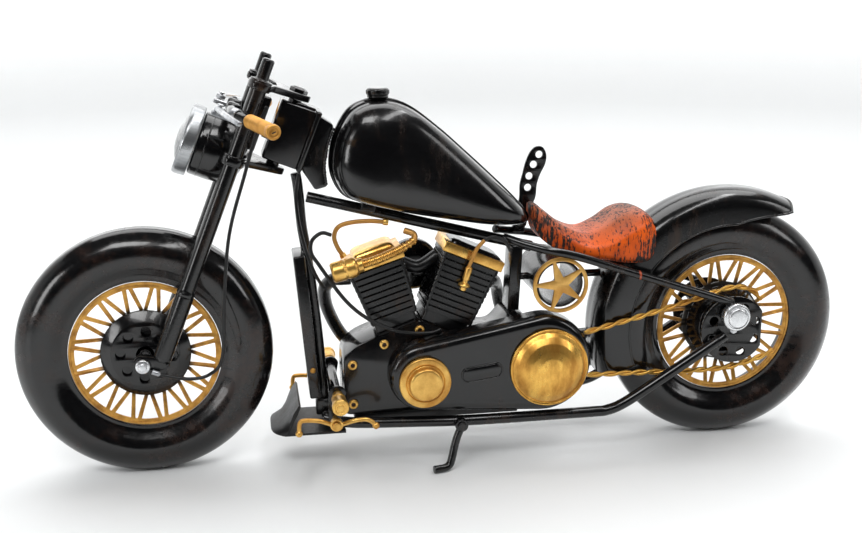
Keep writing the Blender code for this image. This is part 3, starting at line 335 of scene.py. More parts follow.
class Wire:
    # an output that can be used in sums
    def __init__(self, finish, socket):
        self.finish = finish
        self.socket = socket

    def maths(self, operation, first, second):
        return self.finish.node("ShaderNodeMath", {"operation": operation}, {0: first, 1: second})

    def __add__(self, other):
        return self.maths("ADD", self, other)

    __radd__ = __add__

    def __sub__(self, other):
        return self.maths("SUBTRACT", self, other)

    def __rsub__(self, other):
        return self.maths("SUBTRACT", other, self)

    def __mul__(self, other):
        return self.maths("MULTIPLY", self, other)

    __rmul__ = __mul__

    def __pow__(self, other):
        return self.maths("POWER", self, other)

    def __lt__(self, other):
        return self.maths("LESS_THAN", self, other)


class Finish:
    # a paint, with short ways to add its nodes
    def __init__(self, name, color, rough, metal=0.0, coat=0.0, coatRough=0.1, specular=0.5):
        self.material = bpy.data.materials.new(name)
        self.material.use_nodes = True
        self.tree = self.material.node_tree
        self.shader = self.tree.nodes["Principled BSDF"]
        self.spot = None
        self.put("Base Color", (*color, 1))
        self.put("Roughness", rough)
        self.put("Metallic", metal)
        self.put("Coat Weight", coat)
        self.put("Coat Roughness", coatRough)
        self.put("Specular IOR Level", specular)

    def put(self, name, value):
        self.feed(self.shader.inputs[name], value)

    def feed(self, socket, value):
        if isinstance(value, Wire):
            self.tree.links.new(value.socket, socket)
        else:
            socket.default_value = value

    def node(self, kind, settings=None, inputs=None, output=0):
        made = self.tree.nodes.new(kind)
        for key, value in (settings or {}).items():
            setattr(made, key, value)
        for key, value in (inputs or {}).items():
            self.feed(made.inputs[key], value)
        return Wire(self, made.outputs[output])

    def place(self, stretch=(1, 1, 1), shift=0.0):
        if self.spot is None:
            self.spot = self.node("ShaderNodeTexCoord", output="Object")
        scaled = self.node("ShaderNodeVectorMath", {"operation": "MULTIPLY"}, {0: self.spot, 1: stretch})
        return self.node("ShaderNodeVectorMath", {"operation": "ADD"},
                         {0: scaled, 1: (shift, shift, shift)})

    def cloud(self, scale, detail=3, rough=0.55, stretch=(1, 1, 1), shift=0.0):
        return self.node("ShaderNodeTexNoise", {"noise_dimensions": "3D"},
                         {"Vector": self.place(stretch, shift), "Scale": scale,
                          "Detail": detail, "Roughness": rough})

    def between(self, value, low, high):
        # 0 below low and 1 above high
        return self.node("ShaderNodeMapRange", {"clamp": True},
                         {"Value": value, "From Min": low, "From Max": high})

    def blend(self, factor, first, second):
        colors = [tone if isinstance(tone, Wire) else (*tone, 1) for tone in (first, second)]
        return self.node("ShaderNodeMix", {"data_type": "RGBA", "clamp_factor": True},
                         {0: factor, 6: colors[0], 7: colors[1]}, 2)

    def bump(self, height, depth, under=None):
        inputs = {"Height": height, "Distance": depth * mm, "Strength": 1.0}
        if under:
            inputs["Normal"] = under
        return self.node("ShaderNodeBump", None, inputs)

    def parts(self):
        # X, Y and Z of the spot, each as a number
        split = self.node("ShaderNodeSeparateXYZ", None, {0: self.place()})
        return [Wire(self, output) for output in split.socket.node.outputs]


def fromScreen(red, green, blue):
    # linear colour from a 0 to 255 one
    return tuple(((part / 255 + 0.055) / 1.055) ** 2.4 for part in (red, green, blue))


blackPaint = {
    "base": (0.0028, 0.0028, 0.0031), "brown": (0.022, 0.011, 0.006), "rough": (0.12, 0.26),
    "lumps": 0.09, "peel": 0.016, "brushed": 0.08,
}


def makeBlack(name, brown=None, rough=None, lumps=None, peel=None, coat=0.35, brushed=None, peelScale=520):
    # gloss black, brushed on by hand, with a trace of bronze rubbed over it
    tone = brown or blackPaint["brown"]
    low, high = rough or blackPaint["rough"]
    finish = Finish(name, blackPaint["base"], low, coat=coat, coatRough=0.05, specular=0.42)
    wide = finish.cloud(34, 3)
    fine = finish.cloud(peelScale, 3, 0.6)
    grain = finish.cloud(150, 5, 0.7, (1, 1, 0.25), 3.7)
    rub = finish.between(grain + wide * 0.5, 0.86 - (brushed or blackPaint["brushed"]), 1.02)
    finish.put("Base Color", finish.blend(rub, blackPaint["base"], tone))
    finish.put("Roughness", low + (high - low) * finish.between(wide * 0.6 + fine * 0.4, 0.38,
                                                                0.62) + rub * 0.12)
    soft = finish.bump(wide, lumps or blackPaint["lumps"])
    finish.put("Normal", finish.bump(fine + rub * 0.4, peel or blackPaint["peel"], soft))
    return finish


goldPaint = {
    # the hollow shade colour is painted shade for crevices and hollows
    "light": fromScreen(244, 198, 108), "deep": fromScreen(190, 134, 58), "hollowShade": fromScreen(74, 46, 20),
    "rough": (0.26, 0.42), "metal": 0.88,
}


def makeGold(name, rough=None, metal=None, hollowShade=0.5, light=None, streak=(1, 1, 1)):
    # satin metallic gold, thinner in places, with painted shade darkening the hollows
    low, high = rough or goldPaint["rough"]
    finish = Finish(name, goldPaint["light"], low, metal or goldPaint["metal"], coat=0.15, coatRough=0.25)
    wide = finish.cloud(70, 4, 0.6, streak)
    flake = finish.cloud(1900, 2, 0.5, (1, 1, 1), 1.3)
    hollow = finish.node("ShaderNodeNewGeometry", output="Pointiness")
    worn = finish.between(wide + flake * 0.12, 0.40, 0.72)
    body = finish.blend(worn, light or goldPaint["light"], goldPaint["deep"])
    # painted shade: concave spots (low pointiness) are darkened towards a deep brown, standing in for shade in
    # the crevices
    dark = finish.between(0.5 - hollow, 0.015, 0.09) * hollowShade
    finish.put("Base Color", finish.blend(dark, body, goldPaint["hollowShade"]))
    finish.put("Roughness", low + (high - low) * worn + dark * 0.2)
    finish.put("Normal", finish.bump(wide * 0.7 + flake * 0.12, 0.05))
    return finish


silverPaint = {"light": (0.70, 0.71, 0.72), "deep": (0.30, 0.31, 0.33), "rough": (0.24, 0.42)}


def makeSilver(name, light=None, deep=None, rough=None, streak=(1, 1, 1), metal=0.9):
    low, high = rough or silverPaint["rough"]
    finish = Finish(name, light or silverPaint["light"], low, metal, coat=0.2, coatRough=0.2)
    wide = finish.cloud(95, 5, 0.62, streak)
    fine = finish.cloud(900, 2, 0.5, streak, 2.2)
    patch = finish.between(wide + fine * 0.15, 0.42, 0.74)
    finish.put("Base Color", finish.blend(patch, light or silverPaint["light"],
                                          deep or silverPaint["deep"]))
    finish.put("Roughness", low + (high - low) * patch)
    finish.put("Normal", finish.bump(wide + fine * 0.2, 0.06))
    return finish


gloss = makeBlack("glossBlack")
frameBlack = makeBlack("frameBlack", rough=(0.16, 0.30), lumps=0.05, brushed=0.06)
castBlack = makeBlack("castBlack", rough=(0.30, 0.42), lumps=0.04, peel=0.012, coat=0.1, brushed=0.02)
cableBlack = makeBlack("cableBlack", rough=(0.28, 0.42), lumps=0.02, coat=0.1, brushed=0.02)
gold = makeGold("satinGold")
silver = makeSilver("silverPaint")
brightSilver = makeSilver("brightSilver", (0.88, 0.89, 0.90), (0.62, 0.63, 0.65), (0.18, 0.32))
print("paints mixed")


# the studio: camera, lights and a round pale backdrop

studio = {
    "camera": (-0.0925, -0.5254, 0.2283), "yaw": 9.34, "pitch": 14.32, "roll": -0.285, "lens": 48.03,
    "floorRadius": 1.5, "wallRadius": 2.1, "wallHeight": 1.7,
    "floor": (0.80, 0.812, 0.815), "dark": (0.035, 0.036, 0.038), "wallGlow": 1.05, "sky": 0.10,
    # place, aim, width, height, watts, twist
    "lights": (((0.27, -0.30, 0.98), (0.02, 0, 0.10), 1.25, 0.13, 4.6, 27),
               ((-0.34, -0.62, 0.86), (-0.08, 0, 0.08), 0.42, 0.30, 3.4, 0),
               ((-0.86, -0.50, 0.30), (-0.05, 0, 0.10), 0.20, 0.40, 1.7, 0),
               ((0.98, -0.62, 0.62), (0.08, 0, 0.09), 0.22, 0.60, 2.0, 0),
               ((0.05, 0.55, 1.25), (0, 0.1, 0), 1.9, 0.9, 17.0, 0)),
}


def buildStudio():
    yaw, pitch = math.radians(studio["yaw"]), math.radians(studio["pitch"])
    ahead = Vector((math.sin(yaw) * math.cos(pitch), math.cos(yaw) * math.cos(pitch), -math.sin(pitch)))
    lensData = bpy.data.cameras.new("camera")
    lensData.lens = studio["lens"]
    lensData.sensor_width = 36
    lensData.clip_start = 0.01
    camera = bpy.data.objects.new("camera", lensData)
    bpy.context.scene.collection.objects.link(camera)
    aimed = ahead.to_track_quat("-Z", "Y").to_matrix().to_4x4()
    camera.matrix_world = Matrix.Translation(studio["camera"]) @ aimed @ turned(studio["roll"], "Z")
    bpy.context.scene.camera = camera

    for index, (spot, target, width, height, watts, twist) in enumerate(studio["lights"]):
        data = bpy.data.lights.new(f"softbox{index}", "AREA")
        data.shape = "RECTANGLE"
        data.size, data.size_y = width, height
        data.energy = watts
        light = bpy.data.objects.new(f"softbox{index}", data)
        bpy.context.scene.collection.objects.link(light)
        way = (Vector(target) - Vector(spot)).to_track_quat("-Z", "Y").to_matrix().to_4x4()
        light.matrix_world = Matrix.Translation(spot) @ way @ turned(twist, "Z")
        light.visible_camera = False

    world = bpy.data.worlds.new("sky")
    world.use_nodes = True
    glow = world.node_tree.nodes["Background"]
    glow.inputs["Color"].default_value = (1, 1, 1, 1)
    glow.inputs["Strength"].default_value = studio["sky"]
    bpy.context.scene.world = world

    floorPaint = Finish("paleFloor", studio["floor"], 0.55, specular=0.3)
    _, depth, height = floorPaint.parts()
    behind = floorPaint.between(depth, -0.62, -0.30)
    speck = floorPaint.cloud(60, 4)
    tone = floorPaint.blend(speck, [part * 0.985 for part in studio["floor"]], studio["floor"])
    floorPaint.put("Base Color", floorPaint.blend(behind, studio["dark"], tone))
    rise = floorPaint.between(height, 0.0, 0.35) * floorPaint.between(depth, 0.0, 0.8)
    floorPaint.put("Emission Color", floorPaint.blend(rise, (0, 0, 0), (1, 1, 1)))
    floorPaint.put("Emission Strength", studio["wallGlow"])
    edge, wall = studio["floorRadius"] / mm, studio["wallRadius"] / mm
    profile = [(0, 0)] + [(edge * share, 0) for share in (0.25, 0.5, 0.75, 1.0)]
    for step in range(1, 17):
        a = math.pi / 2 * step / 16
        profile.append((edge + (wall - edge) * math.sin(a), (wall - edge) * (1 - math.cos(a))))
    profile.append((wall, studio["wallHeight"] / mm))
    spun = latheSolid(profile + [(0.0002, studio["wallHeight"] / mm)], 128)
    spun.faces.ensure_lookup_table()
    lid = [face for face in spun.faces if min(v.co.z for v in face.verts) > studio["wallHeight"] - 0.001]
    bmesh.ops.delete(spun, geom=lid, context="FACES")
    bmesh.ops.reverse_faces(spun, faces=spun.faces)
    mesh = bpy.data.meshes.new("floor")
    for face in spun.faces:
        face.smooth = True
    spun.to_mesh(mesh)
    spun.free()
    mesh.materials.append(floorPaint.material)
    floor = bpy.data.objects.new("floor", mesh)
    bpy.context.scene.collection.objects.link(floor)
    bpy.context.scene.view_settings.view_transform = "Standard"
    bpy.context.scene.view_settings.look = "None"


buildStudio()
print("studio ready")


# wheels, each about its own axle with Z to the left

wheelSizes = {
    "ringOuter": 34.5, "ringInner": 31.8, "hubInner": 20.0,
    "pairs": 16, "sheet": 1.2, "ringPlane": 6.2, "dishPlane": 2.2, "bore": 9.4,
}

tyrePaint = makeBlack("tyreBlack", brown=(0.024, 0.0105, 0.0065), rough=(0.12, 0.26), lumps=0.14, peel=0.05,
                      brushed=0.13, peelScale=430)


def makeSpokeGold():
    # gold that turns black near the hub: black paint on the hub ring, and painted shade on the spoke ends next
    # to it
    finish = Finish("spokeGold", goldPaint["light"], 0.42, 0.62, coat=0.1, coatRough=0.3)
    x, y, _ = finish.parts()
    out = (x * x + y * y) ** 0.5
    wide = finish.cloud(150, 4, 0.6)
    body = finish.blend(finish.between(wide, 0.42, 0.70), fromScreen(214, 160, 74),
                        fromScreen(150, 100, 40))
    # black hub ring inside the hub radius, then a ramp of painted shade over the spoke ends out to about 23 mm
    dark = finish.between(0.0228 - out + (wide - 0.5) * 0.003, 0.0, 0.0026)
    finish.put("Base Color", finish.blend(dark, body, (0.012, 0.009, 0.006)))
    finish.put("Roughness", 0.36 + 0.16 * wide)
    finish.put("Metallic", 0.62 - 0.5 * dark)
    finish.put("Normal", finish.bump(wide, 0.05))
    return finish


spokeGold = makeSpokeGold()


def tyreSolid():
    side = [(58.5, 0), (58.5, 2.7), (57.7, 5.0), (55.67, 7.36), (52.9, 9.5), (49.4, 10.83), (45.6, 10.9),
            (42.3, 9.9), (39.7, 8.4), (37.8, 7.3), (36.4, 6.85), (35.2, 6.8), (34.82, 6.4), (34.8, 5.0),
            (35.6, 4.2), (37.2, 3.0), (37.25, 0)]
    back = [(37.25, -3), (37.3, -5.6), (38.0, -7.2), (39.9, -8.6), (42.3, -9.9), (45.6, -10.9),
            (49.4, -10.83), (52.9, -9.5), (55.67, -7.36), (57.7, -5.0), (58.5, -2.7)]
    return latheSolid(flowing(side + back, 4, loop=True), 168, closed=True)


def spokeSolid():
    size = wheelSizes
    reach = size["ringInner"] - size["hubInner"]
    step = math.pi / size["pairs"]
    windows = []
    for index in range(2 * size["pairs"]):
        base, tip, halfBase, halfTip = ((size["ringInner"], size["hubInner"] + 0.45, 3.8,
                                         0.12) if index % 2 == 0 else (size["hubInner"], size["ringInner"],
                                                                       2.2, 0.5))
        middle = index * step
        arc = [(base, middle + halfBase / base * (k / 2 - 1)) for k in range(5)]
        ends = [(tip, middle + halfTip / tip), (tip, middle - halfTip / tip)]
        corners = [(r * math.cos(a), r * math.sin(a)) for r, a in arc + ends]
        windows.append(softened(corners, 0.3, 2, loop=True))
    solid = plateSolid(roundLoop(size["ringOuter"], 128), [roundLoop(size["bore"], 40), *windows],
                       size["sheet"], 0.22)
    for vertex in solid.verts:
        radius = math.hypot(vertex.co.x, vertex.co.y) / mm
        fall = min(max((size["ringInner"] - radius) / reach, 0), 1)
        vertex.co.z += (size["ringPlane"] + fall * (size["dishPlane"] - size["ringPlane"])) * mm
    return solid


def rimLip():
    # the raised edge of the gold ring
    size = wheelSizes
    mid = size["ringOuter"] - 0.75
    top = size["ringPlane"] + size["sheet"] / 2 - 0.1
    profile = softened([(mid - 0.55, top), (mid - 0.45, top + 0.45), (mid + 0.45, top + 0.45),
                        (mid + 0.6, top)], 0.3, 3)
    return latheSolid(profile + [(mid, top - 0.2)], 128, closed=True)


def drumSolid(face, faceRadius, rim, far, holes, holeRadius, holeCircle):
    size = wheelSizes
    flange = size["dishPlane"] + size["sheet"] / 2 + 0.8
    back = size["dishPlane"] - size["sheet"] / 2 - 0.3
    floor = face - 2.2
    profile = [(2.3, floor), (faceRadius - 1.2, floor), (faceRadius - 1.2, face - 0.25),
               (faceRadius, face - 0.25), (rim, flange + 1.4), (rim, flange), (9.0, flange), (9.0, back),
               (15.5, back), (15.5, back - 1.2), (7.0, back - 1.2), (6.5, -far), (2.3, -far)]
    body = turnedSolid(profile, 0.35, 3, 80, True)
    loops = [roundLoop(2.6, 28)]
    for index in range(holes):
        a = 2 * math.pi * index / holes + math.radians(40)
        loops.append(roundLoop(holeRadius, 24, (holeCircle * math.cos(a), holeCircle * math.sin(a))))
    plate = plateSolid(roundLoop(faceRadius - 0.1, 80), loops, 1.1, 0.25)
    plate.transform(shifted(0, 0, face - 0.55))
    ring = turnedSolid([(2.4, face - 1.0), (5.6, face - 1.0), (5.6, face - 0.15), (4.6, face + 0.0),
                        (2.4, face + 0.0)], 0.3, 3, 48, True)
    return body, plate, ring


def buildWheels():
    for side in ("front", "rear"):
        place = facingLeft(*middleOf(f"{side}_tyre"))
        body = f"{side}_wheel"
        addPiece(f"{side}Tyre", [(tyreSolid(), tyrePaint)], body, [f"{side}_tyre"], place, 50)
        addPiece(f"{side}Spokes", [(spokeSolid(), spokeGold), (rimLip(), spokeGold)], body,
                 [f"{side}_spoke_disc"], place, 40)
        if side == "front":
            solids = drumSolid(8.2, 15.6, 20.6, 10.5, 8, 2.3, 11.2)
        else:
            solids = drumSolid(12.5, 15.0, 18.7, 14.5, 8, 2.1, 10.6)
        addPiece(f"{side}Drum", [(solid, gloss) for solid in solids], body, [f"{side}_drum"],
                 place)
        print("wheel built:", side)


buildWheels()


# steering head, set out in millimetres with Z up the stem and -X to the front

head = {
    "legX": -18.1, "legY": 21.0, "legRadius": 3.6, "slider": 4.2,
    "lowClamp": -18.6, "highClamp": 16.3, "clamp": 3.0,
}
rake = math.atan2(joints["steering_hinge"]["axis"][0], joints["steering_hinge"]["axis"][2])
headPlace = Matrix.Translation(joints["steering_hinge"]["pos_m"]) @ Matrix.Rotation(rake, 4, "Y")
axleInHead = headPlace.inverted() @ (middleOf("front_axle") * mm) / mm


def buildFork():
    x, y = head["legX"], head["legY"]
    lugTop = axleInHead.z + 5.2
    outline = [(-10.4, 7.0), (-12.6, 11.6), (-15.8, 15.4), (x - 5.2, 16.2), (x - 5.2, y + 2),
               (x - 3, y + 5.2), (x + 3, y + 5.2), (x + 5.2, y + 2), (x + 6.0, y - 3), (2.4, 6.0),
               (6.0, 2.4)]
    loop = outline + [(a, -b) for a, b in reversed(outline)]
    loop = softened(loop, 1.6, 5, loop=True)
    holes = [roundLoop(head["legRadius"] + 0.15, 40, (x, sign * y)) for sign in (1, -1)]
    stem = turnedSolid([(0, -18.6), (3.0, -18.6), (3.0, 14.3), (0, 14.3)], 0.3, 4, 40)
    collars = {head["lowClamp"]: [], head["highClamp"]: []}
    for sign in (1, -1):
        for level in collars:
            collar = turnedSolid(ringProfile(3.8, 4.9, -2.2, 2.4), 0.5, 3, 48, True)
            collars[level].append((collar, gloss, shifted(x, sign * y, level)))
    lowParts, highParts = collars.values()
    addPiece("lowerClamp", [(plateSolid(loop, holes, head["clamp"], 0.5), gloss,
                             shifted(0, 0, head["lowClamp"])), (stem, gloss), *lowParts], "steering",
             ["lower_clamp"], headPlace)
    bolt = turnedSolid([(0, 17.4), (4.2, 17.4), (4.2, 19.2), (2.4, 20.2), (0, 20.2)], 0.4, 4, 6)
    highParts.append((blockSolid((4.2, 15, 25), 0.6), gloss, shifted(-12.4, 0, -1.15)))
    addPiece("upperClamp", [(plateSolid(loop, holes, head["clamp"], 0.5), gloss,
                             shifted(0, 0, head["highClamp"])), (bolt, gloss), *highParts], "steering",
             ["upper_clamp"], headPlace)

    for side, sign in (("left", -1), ("right", 1)):
        profile = [(0, lugTop - 1), (3.4, lugTop - 1), (head["slider"], lugTop + 0.6), (4.2, -83.4),
                   (4.0, -83.0), (4.0, -82.6), (4.2, -82.2), (4.2, -81.6), (3.6, -80.2), (3.6, 18.2),
                   (3.3, 18.9), (2.75, 19.0), (2.75, 27.4), (2.2, 28.2), (0, 28.2)]
        leg = turnedSolid(profile, 0.35, 3, 48)
        ax, az = axleInHead.x, axleInHead.z
        lug = [(x + 3.4, lugTop), (x + 3.4, lugTop - 3), (ax + 3.4, az - 3.6), (ax, az - 4.8),
               (ax - 3.4, az - 3.4), (ax - 4.8, az), (ax - 3.6, az + 3.6), (x - 3.4, lugTop)]
        lug = softened(lug, 1.4, 4, loop=True)
        plate = plateSolid(lug, [roundLoop(2.2, 24, (ax, az))], 4.0, 0.5)
        addPiece(f"forkLeg.{side}", [(leg, frameBlack, shifted(x, sign * y, 0)),
                                     (plate, frameBlack, shifted(0, sign * y, 0) @ turned(90, "X")),
                                     (beadSolid([(x, sign * y - 2, lugTop - 1.5),
                                                 (x, sign * y + 2, lugTop - 1.5)], 1.0), frameBlack,
                                      shifted(3.2, 0, 0))], "steering", [f"fork_leg_{side}"],
                 headPlace)

    half = head["legY"] + 2.3
    nut = [(1.9, 0), (3.2, 0), (3.2, 1.8), (2.6, 2.1), (1.9, 2.2), (1.9, 3.0), (1.5, 3.4), (0, 3.4)]
    solids = []
    for turn in (facingLeft, facingRight):
        sign = -1 if turn is facingLeft else 1
        solids.append((turnedSolid(nut, 0.25, 2, 40), brightSilver,
                       turn(ax, sign * half, az)))
        solids.append((latheSolid(ringProfile(1.9, 3.15, 0.1, 1.6), 6, closed=True),
                       brightSilver, turn(ax, sign * half, az)))
    rod = latheSolid([(0, -half), (1.85, -half), (1.85, half), (0, half)], 32)
    solids.append((rod, brightSilver, facingLeft(ax, 0, az)))
    addPiece("frontAxle", solids, "steering", ["front_axle"], headPlace)
    print("fork built")


buildFork()

lamp = {"level": -19.2, "back": 35.2, "can": 14.6, "lens": 13.3}
lampPlace = headPlace @ shifted(0, 0, lamp["level"]) @ turned(-90, "Y")


def buildLamp():
    back, lens = lamp["back"], lamp["lens"]
    can = [(0, 12.0), (4.5, 12.2), (7.6, 13.2), (10.4, 15.0), (12.6, 17.6), (14.0, 21.0),
           (lamp["can"], 25.0), (lamp["can"], back), (0, back)]
    shell = turnedSolid(can, 1.5, 4, 96)
    seam = turnedSolid([(14.4, 30.6), (14.75, 30.8), (14.75, 31.4), (14.4, 31.6)], 0.2, 2, 96, True)
    addPiece("lampCan", [(shell, gloss), (seam, gloss)],
             "steering", ["headlight_can"], lampPlace, 50)

    ringSilver = makeSilver("ringSilver", (0.50, 0.51, 0.52), (0.22, 0.23, 0.24), (0.22, 0.38), (1, 1, 0.2))
    band = [(lens + 0.3, back + 0.3), (15.9, back + 0.3), (16.2, 36.2), (16.3, 38.4), (16.4, 40.4),
            (15.9, 41.5), (15.2, 41.8), (14.2, 41.4), (lens + 0.3, 40.8)]
    addPiece("lampRing", [(turnedSolid(band, 0.4, 3, 112, True),
                           ringSilver)], "steering", ["headlight_ring"], lampPlace, 50)

    glassPaint = makeSilver("lensSilver", (0.36, 0.365, 0.37), (0.15, 0.155, 0.16), (0.20, 0.34),
                            (1, 0.25, 1), 0.75)
    dome = [(0, back + 0.3), (lens, back + 0.3), (lens, 39.0), (12.6, 40.0), (11.4, 41.0), (9.0, 42.4),
            (6.0, 43.4), (3.0, 43.9), (0, 44.0)]
    addPiece("lampLens", [(turnedSolid(dome, 0.8, 3, 96), glassPaint)],
             "steering", ["headlight_lens"], lampPlace, 50)
    print("lamp built")


buildLamp()

bars = {
    "radius": 2.2, "start": (-18.0, 32.5, 1.4), "end": (-8.2, 60.0, 3.4), "ribs": 15,
    "pivot": (-31.0, 27.0, 1.2),
}


def gripSolids(sign):
    start = Vector((bars["start"][0], sign * bars["start"][1], bars["start"][2]))
    end = Vector((bars["end"][0], sign * bars["end"][1], bars["end"][2]))
    length = (end - start).length - 0.8
    profile = [(0, 0), (2.5, 0), (2.9, 0.8)]
    ribs = bars["ribs"]
    for index in range(ribs):
        at = 1.4 + (length - 5.4) * index / ribs
        pitch = (length - 5.4) / ribs
        profile += [(2.72, at), (3.16, at + pitch * 0.24), (3.16, at + pitch * 0.72),
                    (2.72, at + pitch * 0.96)]
    profile += [(2.9, length - 3.6), (3.3, length - 3.2), (3.3, length - 0.6), (3.0, length), (2.2, length),
                (2.0, length - 0.5), (0, length - 0.5)]
    body = turnedSolid(profile, 0.3, 2, 56)
    screw = turnedSolid([(0, length - 0.6), (1.3, length - 0.6), (1.3, length - 0.1), (0, length)], 0.3, 2,
                        24)
    solids = [(body, gripGold), (screw, gripGold)]
    for index in range(3):
        solids.append((blockSolid((0.7, 1.9, 1.0), 0.15, 1), cableBlack,
                       shifted(0.9, -2.75, length - 7.2 - 2.4 * index) @ turned(35, "Y")))
    solids.append((blockSolid((1.9, 0.45, 0.4), 0.1, 1), cableBlack,
                   shifted(0, 0, length - 0.05) @ turned(40, "Z")))
    return solids, pointing(start, end)


gripGold = makeGold("gripGold", (0.34, 0.48), 0.8, 1.0, fromScreen(216, 162, 78), (1, 1, 3))


def buildBars():
    half = [(-25.6, 0, 1.2), (-25.6, 8, 1.2), (-25.6, 17, 1.2), (-24.0, 25, 1.0), (-18.8, 31, 1.2)]
    route = [(x, -y, z) for x, y, z in reversed(half)] + half[1:]
    solids = [(pipeSolid(route, bars["radius"], 24, 6), gloss)]
    for sign in (1, -1):
        px, py, pz = bars["pivot"][0], sign * bars["pivot"][1], bars["pivot"][2]
        solids.append((blockSolid((9.0, 4.0, 2.4), 0.7), silver,
                       shifted(px + 1.7, py - sign * 2.0, pz - 2.5)))
        pin = [(0, -2.4), (0.8, -2.4), (0.8, 1.4), (1.5, 1.4), (1.5, 2.0), (1.1, 2.3), (0, 2.3)]
        solids.append((turnedSolid(pin, 0.15, 2, 24), silver, shifted(px, py, pz)))
        solids.append((turnedSolid(ringProfile(2.3, 3.0, -1.6, 1.6), 0.35, 3, 40, True), silver,
                       pointing((-23.6, sign * 25.6, 1.0), (-18.8, sign * 31, 1.2))))
    for y in (-8.5, 8.5):
        riser = blockSolid((6.4, 4.2, 6.0), 1.2)
        solids.append((riser, gloss, shifted(-24.8, y, 1.2)))
    addPiece("handlebar", solids, "steering", ["handlebar"], headPlace)
    for side, sign, body in (("left", -1, "clutch_lever"), ("right", 1, "brake_lever")):
        solids, spot = gripSolids(sign)
        addPiece(f"grip.{side}", solids, "steering", [f"grip_{side}"], headPlace @ spot, 45)
        blade = [(2.2, -2.4), (2.4, 0.8), (1.6, 3.0), (2.4, 8.0), (4.2, 14), (6.6, 20), (9.6, 26),
                 (9.4, 27.2), (8.4, 27.5), (7.2, 26.9), (3.8, 20), (1.4, 14.2), (-0.4, 8.0), (-2.2, 2.4),
                 (-2.2, -1.6), (0, -2.6)]
        loop = [(x, sign * y) for x, y in blade]
        loop = softened(loop, 0.8, 3, loop=True)
        lever = plateSolid(loop, [roundLoop(0.95, 20)], 2.0, 0.55)
        addPiece(f"handLever.{side}", [(lever, silver)], body, [f"hand_lever_{side}"],
                 headPlace @ shifted(px, sign * bars["pivot"][1], bars["pivot"][2]))
    cable = [(-12.5, -24.6, 9), (-13.0, -25.4, -2), (-11.6, -24.6, -22), (-9.0, -24.2, -50),
             (-1.0, -24.2, -80), (6.5, -24.2, -104), (4.0, -24.2, -113.5), (-4.0, -24.2, -118.5),
             (-16.0, -24.2, -120.5), (-21.6, -24.2, -120.4)]
    ferrule = turnedSolid([(0, 0), (1.2, 0), (1.2, 3.0), (0.9, 3.8), (0, 3.8)], 0.2, 2, 20)
    addPiece("frontBrakeWire", [(pipeSolid(cable, 0.8, 14, 8), cableBlack),
                                (ferrule, silver, pointing((-20.6, -24.2, -120.4),
                                                           (-16.0, -24.2, -120.5)))], "steering",
             ["front_brake_cable"], headPlace)
    print("bars built")


buildBars()


# frame: neck, tubes, rails and stays, in millimetres

tubes = {"frame": 2.6, "stay": 2.0, "down": 2.4, "spread": 21.5, "railHeight": 21.5,
         "plate": 16.7, "plateSheet": 1.4, "cut": 14.2}
rearAxle = middleOf("rear_tyre")


def inHead(x, z):
    spot = headPlace @ (Vector((x, 0, z)) * mm)
    return spot.x / mm, spot.z / mm


def wallSolid(outline, low, high, edge=0.5):
    # an outline in X and Z, extruded along Y, with rounded edges
    solid = plateSolid(outline, [], high - low, edge)
    solid.transform(shifted(0, (low + high) / 2, 0) @ turned(90, "X"))
    return solid


def buildNeck():
    box = blockSolid((16.8, 16.0, 27.7), 1.0)
    box.transform(headPlace @ shifted(2.2, 0, -1.15))
    collar = blockSolid((2.6, 19.0, 29.0), 1.0)
    collar.transform(headPlace @ shifted(11.4, 0, -1.0))
    shelf = blockSolid((9.0, 12.0, 1.6), 0.5)
    shelf.transform(headPlace @ shifted(5.2, 0, 13.1))
    gusset = [inHead(11.6, 11.5), (-51.2, 162.0), (-54.0, 153.0), (-55.6, 143.0), (-54.6, 133.5),
              (-60.5, 132.0), inHead(11.6, -13.5)]
    web = wallSolid(softened(gusset, 1.5, 4, loop=True), -5, 5, 1.2)
    beads = []
    for y in (-5.2, 5.2):
        beads.append((beadSolid([(-51.6, y, 160.0), (-54.4, y, 152.0), (-56.0, y, 143.0),
                                 (-55.4, y, 135.0)], 1.0), gloss))
        low, high = inHead(12.6, -12.0), inHead(12.6, 10.5)
        beads.append((beadSolid([(low[0], y, low[1]), (high[0], y, high[1])], 0.7), gloss))
    addPiece("neck", [(box, gloss), (collar, gloss), (shelf, gloss), (web, gloss), *beads], "chassis",
             ["neck_housing"])


def buildTubes():
    down = [(-69.0, 0, 139.8), (-68.2, 0, 134), (-67.6, 0, 126), (-66.9, 0, 115), (-65.0, 0, 101),
            (-61.5, 0, 69), (-58.8, 0, 30)]
    front = blockSolid((5.4, 20, 70), 0.9)
    front.transform(shifted(-66.2, 0, 67.6) @ turned(-4.8, "Y"))
    lug = blockSolid((9, 8, 8), 1.0)
    bar = blockSolid((4, 11.4, 4), 0.8)
    screw = [(0, 0), (1.35, 0), (1.35, 0.7), (0.9, 1.2), (0, 1.3)]
    screws = [(turnedSolid(screw, 0.2, 2, 24), gold, facingLeft(x, -9.9, z))
              for x, z in ((-64.4, 47.0),)]
    addPiece("downTube", [(pipeSolid(down, tubes["down"], 24, 6), frameBlack), (front, frameBlack),
                          (lug, frameBlack, shifted(-58.5, 0, 26)),
                          (bar, frameBlack, shifted(-58.5, 0, 22.4)),
                          (beadSolid([(-66.4, -4, 102.6), (-66.4, 4, 102.6)], 1.0), frameBlack), *screws],
             "chassis", ["down_tube"])
    post = blockSolid((5.6, 13, 32), 0.8)
    ears = blockSolid((7.0, 6.0, 4.4), 0.8)
    addPiece("backbone", [(pipeSolid([(-64.3, 0, 128.4), (43.0, 0, 100.3)], tubes["frame"], 28),
                           frameBlack), (post, frameBlack, shifted(33.8, 0, 86.3) @ turned(3, "Y")),
                          (ears, frameBlack, shifted(-36, 0, 122.6) @ turned(14.7, "Y")),
                          (beadSolid([(33.4, -4, 102.0), (33.4, 4, 102.0)], 1.1), frameBlack)], "chassis",
             ["backbone_tube"])


